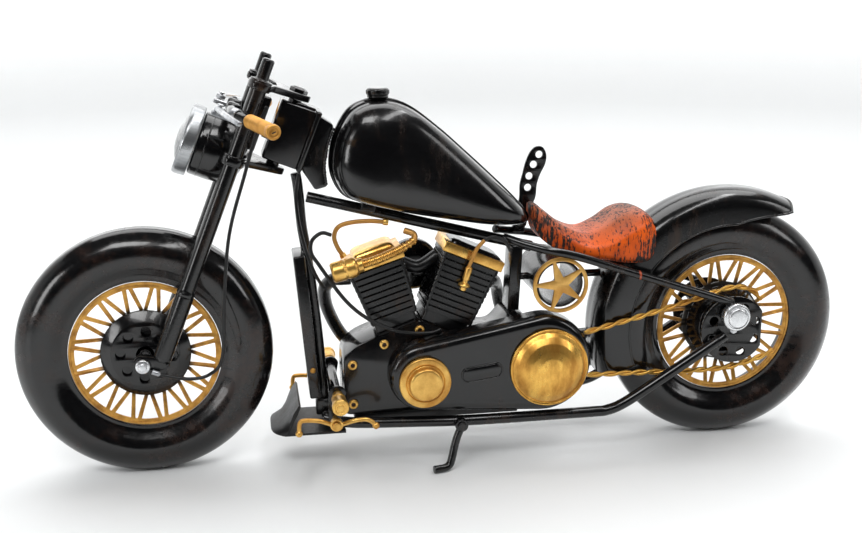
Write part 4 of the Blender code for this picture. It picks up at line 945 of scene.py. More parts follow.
def axlePlate(sign):
    start = math.acos(tubes["cut"] / tubes["plate"])
    sweep = 2 * math.pi - 2 * start
    arc = [(tubes["plate"] * math.cos(start + sweep * k / 72),
            tubes["plate"] * math.sin(start + sweep * k / 72)) for k in range(73)]
    holes = [roundLoop(2.05, 24)]
    for index in range(8):
        a = math.radians(20 + 45 * index)
        holes.append(roundLoop(2.3, 28, (11.6 * math.cos(a), 11.6 * math.sin(a))))
    solid = plateSolid(arc, holes, tubes["plateSheet"], 0.25)
    solid.transform(facingLeft(rearAxle.x, sign * 18.7, rearAxle.z))
    return solid


def buildSides():
    wide, low = tubes["spread"], tubes["railHeight"]
    rail = [(-60, 8.5, 22.5), (-54, 11, low), (-44, 15.5, low), (-20, 18.6, low), (10, wide, low),
            (50, wide, low), (70, wide, 21.6), (77, wide, 22.0), (87, wide, 26.0), (112, wide, 41.5),
            (135.5, wide, 56.5)]
    stay = [(27, 9.5, 107.5), (36, 15.5, 105), (47, 20.8, 102.6), (60, wide, 99.5), (86, wide, 90.7),
            (112, wide, 81.9), (138.2, wide, 73.0)]
    cap = [(0, 0), (6.2, 0), (6.2, 3.4), (6.7, 3.4), (6.9, 4.4), (6.3, 5.2), (4.9, 5.3), (4.7, 6.3),
           (4.0, 6.7), (0, 6.8)]
    for side, sign in (("left", -1), ("right", 1)):
        def flip(points):
            return [(x, sign * y, z) for x, y, z in points]
        parts = [(pipeSolid(flip(rail), tubes["frame"], 24, 5), frameBlack), (axlePlate(sign), frameBlack)]
        if sign < 0:
            pin = [(0, 0), (1.2, 0), (1.2, 6.6), (2.0, 6.6), (2.0, 7.4), (1.6, 7.6), (0, 7.6)]
            parts.append((turnedSolid(pin, 0.15, 2, 28), frameBlack,
                          facingLeft(3.7, -22.1, low)))
        addPiece(f"lowerRail.{side}", parts, "chassis", [f"lower_rail_{side}"])
        turnOut = facingLeft if sign < 0 else facingRight
        knob = turnedSolid(cap, 0.35, 3, 64)
        groove = turnedSolid(ringProfile(5.3, 6.0, 5.0, 5.5), 0.2, 2, 64, True)
        capSpot = turnOut(139.2, sign * 20.9, 66.6)
        parts = [(pipeSolid(flip(stay), tubes["stay"], 22, 4), stayBlack), (knob, brightSilver, capSpot),
                 (groove, brightSilver, capSpot)]
        if sign > 0:
            parts.append((blockSolid((6, 4.6, 9), 0.7), stayBlack, shifted(40.0, 14.9, 108.9)))
            pin = [(0, 0), (2.0, 0), (2.0, 1.0), (1.3, 1.0), (1.3, 3.4), (0, 3.4)]
            parts.append((turnedSolid(pin, 0.15, 2, 28), stayBlack,
                          facingRight(40.0, 9.6, 109.4)))
        addPiece(f"seatStay.{side}", parts, "chassis", [f"seat_stay_{side}"])
    rod = latheSolid([(0, -19.4), (1.9, -19.4), (1.9, 19.4), (0, 19.4)], 32)
    addPiece("rearAxle", [(rod, silver, facingLeft(rearAxle.x, 0, rearAxle.z))], "chassis", ["rear_axle"])


def makeStayBlack():
    # frame black with one small ring of spilt orange from the seat
    finish = makeBlack("stayBlack", rough=(0.16, 0.30), lumps=0.05, brushed=0.06)
    x, y, _ = finish.parts()
    speck = finish.cloud(900, 3)
    away = ((x - 0.0905) ** 2) ** 0.5
    near = finish.between(0.0007 - away + (speck - 0.5) * 0.002, 0.0, 0.0005) * (y < 0)
    under = Wire(finish, finish.shader.inputs["Base Color"].links[0].from_socket)
    finish.put("Base Color", finish.blend(near * 0.8, under, fromScreen(190, 84, 50)))
    return finish


stayBlack = makeStayBlack()
buildNeck()
buildTubes()
buildSides()
print("frame built")


# engine

engine = {
    "case": [(-50, 25), (-50, 53), (-44, 59), (-37, 62.1), (-14, 70.3), (3, 62), (24, 62), (30.4, 69.4),
             (37.5, 69.4), (44, 60), (46, 34), (40, 25)],
    "caseHalf": 14.0, "coverFront": (-13.4, 45.2, 16.4), "coverRear": (43.6, 48.7, 23.6), "coverDepth": 11.5,
    "nuts": ((-14.0, 65.6), (-30.9, 59.4), (-46.0, 50.0), (-46.0, 30.5)), "badge": (13.8, 46.6, 8.0),
    # foot of the barrel, lean, half width at foot and head, fins
    "front": ((-25.4, 0, 70.8), -18.0, 11.5, 13.4, 9), "rear": ((-0.2, 0, 69.8), 23.5, 12.6, 14.2, 10),
    "pitch": 2.95, "finDepth": 1.4, "halfY": 12.0, "spigot": 9.0,
}


def beltLoop(front, rear, inset, count=28):
    # the outline around two circles, in X and Z
    dx, dz = rear[0] - front[0], rear[1] - front[1]
    spread = math.acos((front[2] - rear[2]) / math.hypot(dx, dz))
    tilt = math.atan2(dz, dx)
    loop = []
    for index in range(count + 1):
        a = tilt + spread + (2 * math.pi - 2 * spread) * index / count
        loop.append((front[0] + (front[2] - inset) * math.cos(a),
                     front[1] + (front[2] - inset) * math.sin(a)))
    for index in range(count + 1):
        a = tilt - spread + 2 * spread * index / count
        loop.append((rear[0] + (rear[2] - inset) * math.cos(a), rear[1] + (rear[2] - inset) * math.sin(a)))
    return loop


def buildCase():
    outline = softened(engine["case"], 3.0, 5, loop=True)
    solids = [(wallSolid(outline, -engine["caseHalf"], engine["caseHalf"], 0.9), gloss)]
    for x, z in engine["nuts"]:
        ring = [(1.05, 0), (2.3, 0), (2.3, 1.0), (1.9, 1.5), (1.05, 1.5)]
        spot = facingLeft(x, -engine["caseHalf"] + 0.1, z)
        solids.append((turnedSolid(ring, 0.25, 2, 32, True), gold, spot))
        solids.append((latheSolid(ringProfile(1.2, 2.35, 0.05, 0.9), 6, closed=True), gold,
                       spot @ turned(17 * x, "Z")))
        solids.append((latheSolid([(0, 0.1), (1.2, 0.1), (1.2, 0.5), (0, 0.5)], 20), darkRed, spot))
    solids.append((blockSolid((80, 20, 6), 0.8), castBlack, shifted(-5, 0, 22.6)))
    addPiece("crankcase", solids, "chassis", ["crankcase"], sharp=30)

    rings = []
    steps = [(0.0, 0.5), (0.02, 0.0), (0.60, 0.0), (0.72, 0.1), (0.84, 0.6), (0.93, 1.5), (0.98, 2.6),
             (1.0, 4.0), (1.0, 5.0), (0.985, 5.8), (0.985, 6.6)]
    for share, inset in steps:
        y = -(engine["caseHalf"] + 0.3 + share * engine["coverDepth"])
        rings.append([(x, y, z) for x, z in beltLoop(engine["coverFront"], engine["coverRear"], inset)])
    cover = skinSolid(rings)
    x, z, tilt = engine["badge"]
    long, tall = 18.4, 6.4
    slot = []
    for centre, first in ((long / 2 - tall / 2, -90), (-long / 2 + tall / 2, 90)):
        slot += [(centre + tall / 2 * math.cos(math.radians(first + 12 * k)),
                  tall / 2 * math.sin(math.radians(first + 12 * k))) for k in range(16)]
    badgeSpot = facingLeft(x, -(engine["caseHalf"] + 0.3 + engine["coverDepth"]) + 0.1, z) @ turned(tilt,
                                                                                                    "Z")
    badge = plateSolid(slot, [], 1.0, 0.3)
    rim = plateSolid([(a * 1.10, b * 1.2) for a, b in slot], [[(a * 1.03, b * 1.06) for a, b in slot]], 0.7,
                     0.25)
    front = (-13.4, -(engine["caseHalf"] + engine["coverDepth"] + 0.5), 43.6)
    addPiece("primaryCover", [(cover, gloss), (badge, gloss, badgeSpot), (rim, gloss, badgeSpot)],
             "chassis", ["primary_cover"], sharp=50)

    hub = [(0, 0), (12.3, 0), (12.3, 1.2), (12.0, 1.8), (11.4, 2.0), (9.2, 2.1), (8.8, 1.7), (8.3, 1.7),
           (8.0, 2.2), (7.9, 4.4), (7.5, 5.0), (6.8, 5.3), (0, 5.4)]
    addPiece("frontHubCover", [(turnedSolid(hub, 0.3, 3, 96), hubGold)], "chassis",
             ["front_hub_cover"], facingLeft(*front), 45)
    dome = [(0, 0), (18.9, 0), (18.9, 1.1), (18.5, 1.5), (18.0, 1.5), (17.7, 1.1), (17.2, 1.3), (15.6, 2.9),
            (12.9, 4.7), (9.6, 6.0), (6.0, 6.7), (3.0, 6.95), (0, 7.0)]
    addPiece("rearDomeCover", [(turnedSolid(dome, 0.4, 3, 120), domeGold)], "chassis",
             ["rear_dome_cover"], facingLeft(46.0, front[1], 47.4), 50)
    timing = [(0, 0), (16, 0), (16, 2.2), (14.5, 3.4), (9.0, 3.5), (8.4, 3.0), (7.6, 3.0), (7, 3.6),
              (6.4, 5.0), (5.6, 5.2), (0, 5.2)]
    solids = [(turnedSolid(timing, 0.4, 3, 88), hubGold)]
    for index in range(6):
        a = math.radians(60 * index + 15)
        screw = [(0, 3.0), (1.1, 3.0), (1.1, 3.9), (0.7, 4.3), (0, 4.3)]
        solids.append((turnedSolid(screw, 0.2, 2, 18), hubGold,
                       shifted(12.2 * math.cos(a), 12.2 * math.sin(a), 0)))
    addPiece("timingCover", solids, "chassis", ["timing_cover"],
             facingRight(-8, engine["caseHalf"] + 0.3, 47), 45)


darkRed = Finish("shadowRed", (0.020, 0.004, 0.003), 0.5)
darkRed.put("Base Color", darkRed.blend(darkRed.cloud(600, 2), (0.030, 0.005, 0.004),
                                        (0.006, 0.003, 0.003)))
hubGold = makeGold("hubGold", (0.30, 0.42), 0.85, 1.0)
domeGold = makeGold("domeGold", (0.24, 0.38), 0.94, 0.8, fromScreen(246, 194, 96), (2.4, 1, 1))
buildCase()
print("crankcase built")


def finSolid(foot, top, fins):
    # a square barrel of sheet fins that widens towards its head
    rings = []
    pitch, deep, halfY = engine["pitch"], engine["finDepth"], engine["halfY"]
    steps = ((deep, 0.02), (deep, 0.10), (0.12, 0.16), (0, 0.20), (0, 0.88), (0.12, 0.92), (deep, 0.98))
    rings.append(squareLoop(foot - deep, halfY - deep, 1.4, -engine["spigot"]))
    for index in range(fins):
        half = foot + (top - foot) * index / (fins - 1)
        for inset, rise in steps:
            rings.append(squareLoop(half - inset, halfY - inset, 1.4, (index + rise) * pitch))
    return skinSolid(rings)


def squareLoop(x, y, corner, z):
    loop = [(x, y), (-x, y), (-x, -y), (x, -y)]
    return [(a, b, z) for a, b in softened(loop, corner, 5, loop=True)]


def buildCylinders():
    outline = [(x, z + 0.35) for x, z in engine["case"]]
    for name in ("front", "rear"):
        base, lean, foot, headHalf, fins = engine[name]
        spot = shifted(*base) @ turned(lean, "Y")
        barrel = finSolid(foot, headHalf, fins)
        barrel.transform(spot)
        under = wallSolid(outline, -30, 30, 0.1)
        barrel = cutSolid(barrel, under)
        barrel.transform(spot.inverted())
        top = (fins - 0.1) * engine["pitch"] + 0.3
        rods = [(pipeSolid([(sx * (foot - 1.2), sy * 11.4, 0.0), (sx * (headHalf - 1.2), sy * 11.4, top)],
                           0.75, 12), castBlack) for sx in (-1, 1) for sy in (-1, 1)]
        addPiece(f"{name}Cylinder", [(barrel, finBlack), *rods], "chassis", [f"cylinder_{name}"],
                 spot, 30)
        if name == "rear":
            slab = blockSolid((30.6, 24, 4.8), 0.5)
            # painted reflection: this low gloss-black dome on the gold top stands in for the dark reflection of
            # the tank and backbone
            lid = skinSolid([squareLoop(13.0, 9.6, 3, 0), squareLoop(12.8, 9.4, 3, 0.8),
                             squareLoop(11.4, 8.2, 3, 1.5), squareLoop(9.8, 6.8, 3, 1.8)])
            solids = [(slab, boxGold, shifted(0, 0, 2.4)), (lid, gloss, shifted(0.8, 0, 4.7))]
        else:
            slab = blockSolid((28.6, 23, 4.8), 0.5)
            rings = []
            for share, height in ((1.0, 0), (1.0, 1.0), (0.985, 1.9), (0.94, 2.8), (0.86, 3.5), (0.74, 4.0),
                                  (0.52, 4.2)):
                rings.append(squareLoop(10.4 * share, 9.0 * share, 2.6 * share, height))
            solids = [(slab, boxGold, shifted(0, 0, 2.4)),
                      (skinSolid(rings), boxGold, shifted(1, 0, 4.4))]
            nut = [(0, 0), (1.7, 0), (1.7, 1.2), (1.2, 1.6), (1.2, 2.4), (0, 2.4)]
            solids.append((turnedSolid(nut, 0.2, 2, 6), gold,
                           shifted(-11.6, -9.0, 4.6)))
            clip = blockSolid((4.6, 3.4, 0.9), 0.3, 2)
            solids.append((clip, gold, shifted(-11.0, -9.0, 5.0)))
        addPiece(f"{name}RockerBox", solids, "chassis", [f"rocker_box_{name}"],
                 spot @ shifted(0, 0, top), 34)


def buildPlumbing():
    plug = [(0, 0), (1.6, 0), (1.6, 1.6), (2.2, 1.7), (2.9, 2.2), (2.9, 2.7), (2.2, 3.4), (1.3, 3.8),
            (1.2, 5.0), (1.7, 5.2), (1.7, 11.0), (1.1, 11.6), (0, 12.0)]
    solids = [(turnedSolid(plug, 0.3, 2, 32), gold,
               shifted(6.4, -15.2, 84.2) @ turned(16, "Y"))]
    lead = [(9.2, -15.2, 95.0), (10.6, -15.6, 98.5), (13.0, -16.0, 104.0), (16.6, -15.6, 107.8),
            (21.6, -15.0, 109.0), (26.6, -14.4, 106.6), (29.6, -13.8, 101.5)]
    solids.append((pipeSolid(lead[:4], 0.95, 14, 8), leadBrown))
    solids.append((pipeSolid(lead[2:], 0.78, 14, 8), cableBlack))
    addPiece("sparkPlug", solids, "chassis", ["spark_plug"])

    start, end = Vector((-55.0, -18.5, 96.0)), Vector((-40.6, -18.5, 99.6))
    length = (end - start).length
    motor = [(0, 0), (3.9, 0), (4.7, 0.8), (4.8, 1.4), (4.8, 0.40 * length), (4.4, 0.44 * length),
             (4.4, 0.46 * length), (4.8, 0.49 * length), (4.7, 0.72 * length), (4.2, 0.80 * length),
             (3.2, 0.84 * length), (3.1, length), (0, length)]
    solids = [(turnedSolid(motor, 0.35, 3, 64), gold, pointing(start, end))]
    hose = [(-43.4, -18.5, 98.9), (-33, -18.5, 102.0), (-24, -18.0, 105.6), (-17.4, -17.2, 109.2),
            (-16.6, -15.0, 112.0), (-20.6, -12.6, 113.4)]
    path = flowing(hose, 40)
    total, marks = 0.0, [0.0]
    for a, b in zip(path, path[1:]):
        total += (b - a).length
        marks.append(total)

    def along(share):
        return path[min(bisect.bisect_left(marks, share * total), len(path) - 1)]
    coil = []
    turns = 25
    for index in range(turns * 14 + 1):
        share = 0.02 + 0.60 * index / (turns * 14)
        here, ahead = along(share), along(min(share + 0.03, 1.0))
        way = (ahead - here).normalized()
        side = way.cross(Vector((0, 0, 1))).normalized()
        up = side.cross(way)
        a = 2 * math.pi * index / 14
        coil.append(here + (side * math.cos(a) + up * math.sin(a)) * 1.75)
    solids.append((pipeSolid(coil, 0.42, 8, 1), gold))
    solids.append((pipeSolid(hose, 1.5, 20, 8), leadBrown))
    for at in (0.64, 0.70, 0.76):
        here, ahead = along(at), along(at + 0.02)
        band = turnedSolid(ringProfile(1.4, 2.0, -0.5, 0.5), 0.25, 2, 28, True)
        solids.append((band, gold, pointing(here, ahead)))
    addPiece("starterMotor", solids, "chassis", ["starter_motor"])

    oil = [(-48.8, -13.6, 102.4), (-51.6, -13.6, 107.0), (-53.0, -13.6, 112.0), (-51.0, -13.4, 116.4),
           (-45.0, -13.0, 118.2), (-36.0, -12.4, 118.4), (-28.0, -12.0, 117.4)]
    ends = [(latheSolid([(0, 0), (1.7, 0), (1.7, 1.6), (0, 1.6)], 6), gold, pointing(oil[0], oil[1])),
            (turnedSolid([(0, 0), (1.5, 0), (1.5, 2.4), (0, 2.4)], 0.3, 4, 24), gold,
             pointing(oil[-1], oil[-2]))]
    addPiece("oilPipe", [(pipeSolid(oil, 1.05, 16, 8), leadBrown), *ends], "chassis", ["oil_pipe"])

    vent = [(-54.6, -17.0, 113.6), (-59.0, -18.4, 115.0), (-63.4, -19.6, 112.0), (-64.0, -20.0, 106.5),
            (-60.6, -20.4, 100.6), (-49.5, -20.8, 84.0), (-38.5, -20.0, 73.8), (-24.6, -18.0, 66.6),
            (-10.6, -16.4, 64.4), (-4.0, -15.4, 65.6)]
    addPiece("ventWire", [(pipeSolid(vent, 0.9, 14, 10), cableBlack)], "chassis", ["vent_cable"])
    neck = [(-68.0, -10.0, 141.0), (-69.6, -10.0, 130.0), (-68.6, -11.0, 118.0), (-66.0, -13.5, 106.0),
            (-62.5, -16.2, 96.0), (-58.5, -17.2, 88.5)]
    addPiece("throttleWire", [(pipeSolid(neck, 0.8, 14, 10), cableBlack)], "chassis", ["throttle_cable"])

    cleaner = [(0, 0), (11.0, 0), (12.6, 1.4), (12.6, 5.4), (12.0, 6.4), (11, 6.9), (8.4, 7.2), (7.8, 6.8),
               (7.0, 6.8), (6.4, 7.4), (3, 7.8), (0, 7.8)]
    intake = blockSolid((6.6, 17, 7), 1.4)
    neckTube = pipeSolid([(-20.0, 0, 95.0), (-12.4, -1.0, 93.0), (-3.0, 0, 98.0)], 3.2, 24, 8)
    addPiece("airCleaner", [(turnedSolid(cleaner, 0.4, 3, 80), gloss,
                             facingRight(-12.4, 14.0, 90)), (intake, castBlack, shifted(-12.4, 7, 91.6)),
                            (neckTube, castBlack)], "chassis", ["air_cleaner"])

    front = [(-44.0, 8.0, 86.4), (-48.4, 9.0, 86.0), (-52.4, 11.5, 85.0), (-56.0, 17.0, 79.0),
             (-54.0, 24.5, 66.0), (-46.0, 29.5, 50.0), (-32.0, 30.5, 37.5), (-12.0, 30.5, 32.5),
             (14.0, 30.5, 31.5), (39.4, 30.5, 31.5)]
    muffler = [(0, 0), (3.0, 0), (3.6, 1.0), (5.4, 7), (5.4, 69), (4.6, 75.4), (4.1, 76), (3.6, 75.2),
               (3.5, 71), (0, 71)]
    addPiece("exhaustFront", [(pipeSolid(front, 3.2, 28, 8), pipeBlack),
                              (turnedSolid(muffler, 0.5, 3, 56), gloss,
                               pointing((37, 30.5, 31.5), (116, 30.5, 32.5)))],
             "chassis", ["exhaust_front"])
    rear = [(19.0, 8.0, 80.8), (22.6, 10.0, 80.5), (27.6, 15.0, 80.0), (31.0, 23.0, 75.0),
            (34.5, 29.0, 63.0), (40.0, 30.5, 51.0), (52.0, 30.5, 45.0), (72.0, 30.5, 44.2),
            (95, 30.5, 45.0), (118.0, 30.5, 46.0)]
    addPiece("exhaustRear", [(pipeSolid(rear, 3.2, 28, 8), pipeBlack)], "chassis", ["exhaust_rear"])


finBlack = makeBlack("finBlack", rough=(0.20, 0.36), lumps=0.05, peel=0.02, coat=0.2, brushed=0.04)
boxGold = makeGold("boxGold", (0.22, 0.36), 0.95, 1.0, fromScreen(250, 204, 112))
leadBrown = makeGold("leadBrown", (0.34, 0.5), 0.6, 1.0, fromScreen(176, 130, 66))
pipeBlack = makeBlack("pipeBlack", rough=(0.24, 0.38), lumps=0.05, brushed=0.04)
buildCylinders()
print("cylinders built")
buildPlumbing()
print("plumbing built")


oilCan = {
    "centre": (52.5, 85.6), "half": 18.6, "radius": 11.4, "bore": 10.2, "lug": 1.8, "ends": (25.4, -15.3),
}
star = {"radius": 13.4, "ring": 11.6, "notch": 3.8, "window": 65, "turn": 17, "sheet": 1.6}


def buildCan():
    (x, z), half, radius = oilCan["centre"], oilCan["half"], oilCan["radius"]
    wall = [(oilCan["bore"], -half), (radius - 0.5, -half), (radius, -half + 0.8), (radius, half - 0.8),
            (radius - 0.5, half), (oilCan["bore"], half)]
    lugs = [(pipeSolid([(math.copysign(radius - 0.4, end), 0, 0), (end, 0, 0)], oilCan["lug"], 18), gloss)
            for end in oilCan["ends"]]
    addPiece("oilCan", [(turnedSolid(wall, 0.3, 3, 88, True), canBlack), *lugs], "chassis", ["oil_can"],
             place=facingLeft(x, 0, z))
    windows = []
    for index in range(5):
        middle, wide = math.radians(126 + 72 * index + star["turn"]), math.radians(star["window"])
        arc = [(star["ring"], middle - wide / 2 + wide * k / 8) for k in range(9)]
        loop = [(r * math.cos(a), r * math.sin(a)) for r, a in arc + [(star["notch"], middle)]]
        windows.append(softened(loop, 0.35, 2, loop=True))
    plate = plateSolid(roundLoop(star["radius"], 96), windows, star["sheet"], 0.3)
    addPiece("starCover", [(plate, spokeFlat)], "chassis", ["star_cover"],
             facingLeft(x, -(half + 0.3 + star["sheet"] / 2), z))


canBlack = makeBlack("canBlack", rough=(0.18, 0.3), lumps=0.04)
spokeFlat = makeGold("flatGold", (0.36, 0.50), 0.7, 1.0, fromScreen(236, 188, 104))
buildCan()
print("oil can built")


# tank, seat and fender

tank = {
    "outline": [(-49.0, 162.0), (-43.5, 169.4), (-35.0, 173.0), (-25.0, 173.0), (-15.0, 169.0), (-2.0, 159.0),
                (10.0, 148.2), (22.4, 136.6), (33.0, 126.2), (39.6, 118.6), (40.9, 114.4), (37.5, 112.0),
                (22.0, 112.4), (-2.0, 116.6), (-24.0, 121.0), (-43.0, 126.4), (-50.0, 131.6), (-53.6, 141.0),
                (-52.8, 152.0)],
    "centre": (-14.0, 139.0), "half": 19.5,
    # size of the outline, share of the half width, forward slide
    "steps": [(0.985, 0.015, 0), (1.0, 0.03, 0), (1.0, 0.085, 0), (0.992, 0.10, 0), (0.972, 0.105, 0),
              (0.966, 0.125, 0), (0.964, 0.20, 0), (0.962, 0.30, 0), (0.955, 0.42, 0.3), (0.938, 0.54, 1.0),
              (0.908, 0.645, 2.0), (0.862, 0.735, 3.0), (0.80, 0.81, 4.1), (0.72, 0.872, 5.4),
              (0.62, 0.922, 6.6), (0.50, 0.958, 7.8), (0.36, 0.982, 8.6), (0.20, 0.995, 9.2), (0.06, 1.0, 9.4)],
}


def buildTank():
    outline = flowing(tank["outline"], 7, loop=True)
    cx, cz = tank["centre"]
    for side, sign in (("left", -1), ("right", 1)):
        rings = []
        for size, share, slide in tank["steps"]:
            middle = cx - slide
            rings.append([(middle + (x - middle) * size, sign * share * tank["half"], cz + (z - cz) * size)
                          for x, z in outline])
        addPiece(f"tank.{side}", [(skinSolid(rings), tankBlack)], "chassis", [f"tank_{side}"], sharp=52)
    cap = [(0, 0), (4.9, 0), (4.9, 1.1), (5.2, 1.4), (5.2, 3.5), (4.8, 4.1), (4.0, 4.4), (0, 4.4)]
    solids = [(turnedSolid(cap, 0.3, 3, 64), gloss)]
    for index in range(14):
        a = 2 * math.pi * index / 14
        solids.append((blockSolid((0.7, 1.3, 2.0), 0.3, 2), gloss,
                       Matrix.Rotation(a, 4, "Z") @ shifted(5.05, 0, 2.5)))
    addPiece("fillerCap", solids, "chassis", ["filler_cap"], place=shifted(-30.4, 0, 173.4))


tankBlack = makeBlack("tankBlack", brown=(0.013, 0.008, 0.006), rough=(0.12, 0.24), lumps=0.10, peel=0.034,
                      brushed=0.05, peelScale=640)
buildTank()
print("tank built")

seatSizes = {
    # x, half width, crown, floor, height of the crease
    "table": [(41.4, 4.5, 121.6, 115.0, 0.80), (44.0, 8.0, 121.6, 108.2, 0.78),
              (49.0, 12.0, 117.6, 103.0, 0.76), (57.0, 15.5, 111.6, 99.6, 0.66),
              (67.0, 18.0, 108.0, 97.6, 0.52), (76.0, 18.6, 111.2, 96.0, 0.52),
              (84.0, 18.6, 116.6, 94.4, 0.62), (91.0, 18.6, 118.4, 94.0, 0.72),
              (97.0, 17.6, 117.0, 94.6, 0.80), (100.5, 14.6, 113.4, 98.0, 0.82)],
}


def makeSeatPaint():
    # orange rubbed over black, scraped in streaks down the flanks
    orange, red = fromScreen(226, 92, 8), fromScreen(170, 62, 10)
    finish = Finish("seatOrange", orange, 0.50, coat=0.08, coatRough=0.25, specular=0.3)
    x, _, z = finish.parts()
    streak = finish.cloud(1050, 4, 0.66, (1, 0.6, 0.15), 0.8)
    blot = finish.cloud(62, 4, 0.6, (1, 1, 0.6), 4.1)
    fleck = finish.cloud(1500, 4, 0.7, (1, 0.6, 0.36), 2.6)
    low = finish.between(0.1035 - z - x * 0.06, 0.0, 0.006)
    nose = finish.between(0.066 - x, 0.0, 0.022)
    tail = finish.between(x - 0.088, 0.0, 0.011)
    top = finish.between(z - 0.104 - ((x - 0.068) ** 2) * 12, 0.0, 0.008)
    worn = streak * 0.62 + fleck * 0.34 + blot * 0.26 + low * 0.08 + nose * 0.075 + tail * 0.075
    black = finish.between(worn, 0.630, 0.685)
    tone = finish.blend(finish.between(blot, 0.4, 0.65), orange, red)
    # painted highlight: the top of the crown is paled towards a pinkish grey, standing in for the sheen of the
    # overhead light
    crownSheen = finish.blend(top * (0.35 + 0.7 * fleck), tone, fromScreen(132, 88, 66))
    finish.put("Base Color", finish.blend(black, crownSheen, (0.011, 0.010, 0.009)))
    finish.put("Roughness", 0.44 + 0.16 * fleck + 0.08 * black)
    finish.put("Normal", finish.bump(streak * 0.6 + fleck * 0.4 - black * 0.35, 0.12))
    return finish


def buildSeat():
    rows = flowing([row[:3] for row in seatSizes["table"]], 7)
    extra = flowing([(*row[3:], 0) for row in seatSizes["table"]], 7)
    rings = []
    for (x, half, crown), (floor, crease, _) in zip(rows, extra):
        rise = crown - floor
        across = [(0, 1.0), (0.25, 0.997), (0.48, 0.985), (0.66, 0.962), (0.80, min(0.93, crease + 0.16)),
                  (0.88, crease + 0.06), (0.915, crease + 0.005), (0.95, crease - 0.015),
                  (0.985, crease - 0.10), (1.0, crease - 0.24), (1.0, max(crease - 0.42, 0.18)),
                  (0.985, 0.10), (0.95, 0.02), (0.90, 0.0)]
        right = [(x, half * a, floor + rise * up) for a, up in across]
        rings.append(right + [(x, -b, c) for x, b, c in reversed(right[1:])])
    seat = skinSolid(rings)
    envelope = latheSolid([(0, -14.6), (68.5, -14.6), (68.5, 14.6), (0, 14.6)], 160)
    envelope.transform(facingLeft(*rearAxle))
    seat = cutSolid(seat, envelope)
    addPiece("seat", [(seat, makeSeatPaint())], "chassis", ["seat"], sharp=55)


buildSeat()
print("seat built")

fender = {"radius": 68.0, "half": 14.2, "sheet": 0.8, "from": 63.0, "to": 200.0, "steps": 110}


def buildFender():
    rings, edges = [], {-1: [], 1: []}
    for index in range(fender["steps"] + 1):
        a = math.radians(fender["from"] + (fender["to"] - fender["from"]) * index / fender["steps"])
        fade = min(1.0, (a - math.radians(fender["from"])) / math.radians(26))
        skirt = 63.0 - 12.0 * fade ** 0.7
        crown, half = fender["radius"], fender["half"]
        shoulder = max(crown - 6.5, skirt + 0.3)
        knots = [(skirt, half), ((skirt + shoulder) / 2, half), (shoulder, half * 0.985),
                 (crown - 3.4, half * 0.88), (crown - 1.3, half * 0.66), (crown, half * 0.33), (crown, 0)]
        side = flowing(knots, 3)
        outer = side + [(r, -y) for r, y in reversed(side[:-1])]
        inner = []
        for (r, y) in outer:
            lean = min(max((r - shoulder) / (crown - shoulder), 0), 1)
            inner.append((r - fender["sheet"] * lean,
                          y - math.copysign(fender["sheet"] * (1 - lean * 0.8),
                                            y) if abs(y) > 0.001 else 0))
        loop = outer + inner[::-1]
        rings.append([(rearAxle.x + r * math.cos(a), y, rearAxle.z + r * math.sin(a)) for r, y in loop])
        for sign in (-1, 1):
            edges[sign].append((rearAxle.x + (skirt + 0.4) * math.cos(a), sign * (half - 0.2),
                                rearAxle.z + (skirt + 0.4) * math.sin(a)))
    solids = [(skinSolid(rings), fenderBlack)]
    for sign in (-1, 1):
        solids.append((pipeSolid(edges[sign], 0.55, 10, 1), fenderBlack))
    tail = [rings[0][k] for k in range(0, 37, 2)]
    solids.append((pipeSolid(tail, 0.55, 10, 2), fenderBlack))
    rivet = [(0, 0), (0.9, 0), (0.9, 0.3), (0.5, 0.6), (0, 0.7)]
    for sign, turn in ((-1, facingLeft), (1, facingRight)):
        solids.append((turnedSolid(rivet, 0.2, 2, 18), castBlack,
                       turn(82.5, sign * fender["half"], 85.5)))
    addPiece("rearFender", solids, "chassis", ["rear_fender"], sharp=45)


fenderBlack = makeBlack("fenderBlack", rough=(0.14, 0.28), lumps=0.14, peel=0.03, brushed=0.05,
                        peelScale=560)
buildFender()
print("fender built")


# chains, stand and foot controls

chain = {"y": -17.0, "strand": 0.78, "offset": 0.74, "turn": 15.4,
         "upper": [(65.5, 60.5), (95.0, 67.6), (122.0, 74.8), (140.0, 79.6), (150.0, 77.4), (154.5, 72.4)],
         "lower": [(67.0, 39.0), (96.0, 38.6), (116.0, 38.0), (137.0, 38.4), (152.0, 41.6), (163.0, 45.6)]}


def buildChains():
    for run in ("upper", "lower"):
        path = flowing([(x, chain["y"], z) for x, z in chain[run]], 24)
        strands = ([], [])
        length = 0.0
        for index, spot in enumerate(path):
            if index:
                length += (spot - path[index - 1]).length
            way = (path[min(index + 1, len(path) - 1)] - path[max(index - 1, 0)]).normalized()
            up = Vector((0, 1, 0)).cross(way)
            wobble = 1 + 0.25 * noise.noise(spot * 0.11)
            for strand, phase in zip(strands, (0, math.pi)):
                a = 2 * math.pi * length / chain["turn"] + phase + 0.5 * noise.noise(spot * 0.07)
                out = Vector((0, 1, 0)) * math.cos(a) + up * math.sin(a)
                strand.append(spot + out * chain["offset"] * wobble)
        solids = [(pipeSolid(strand, chain["strand"], 12, 1), chainGold) for strand in strands]
        addPiece(f"chain.{run}", solids, "chassis", [f"chain_{run}"])


chainGold = makeGold("chainGold", (0.26, 0.42), 0.9, 1.0, fromScreen(222, 176, 84))
buildChains()


feet = {"bar": (-54.0, 38.5), "barHalf": 24, "barRadius": 2.0, "tab": 21.4, "pedal": (-55.5, 27.6)}


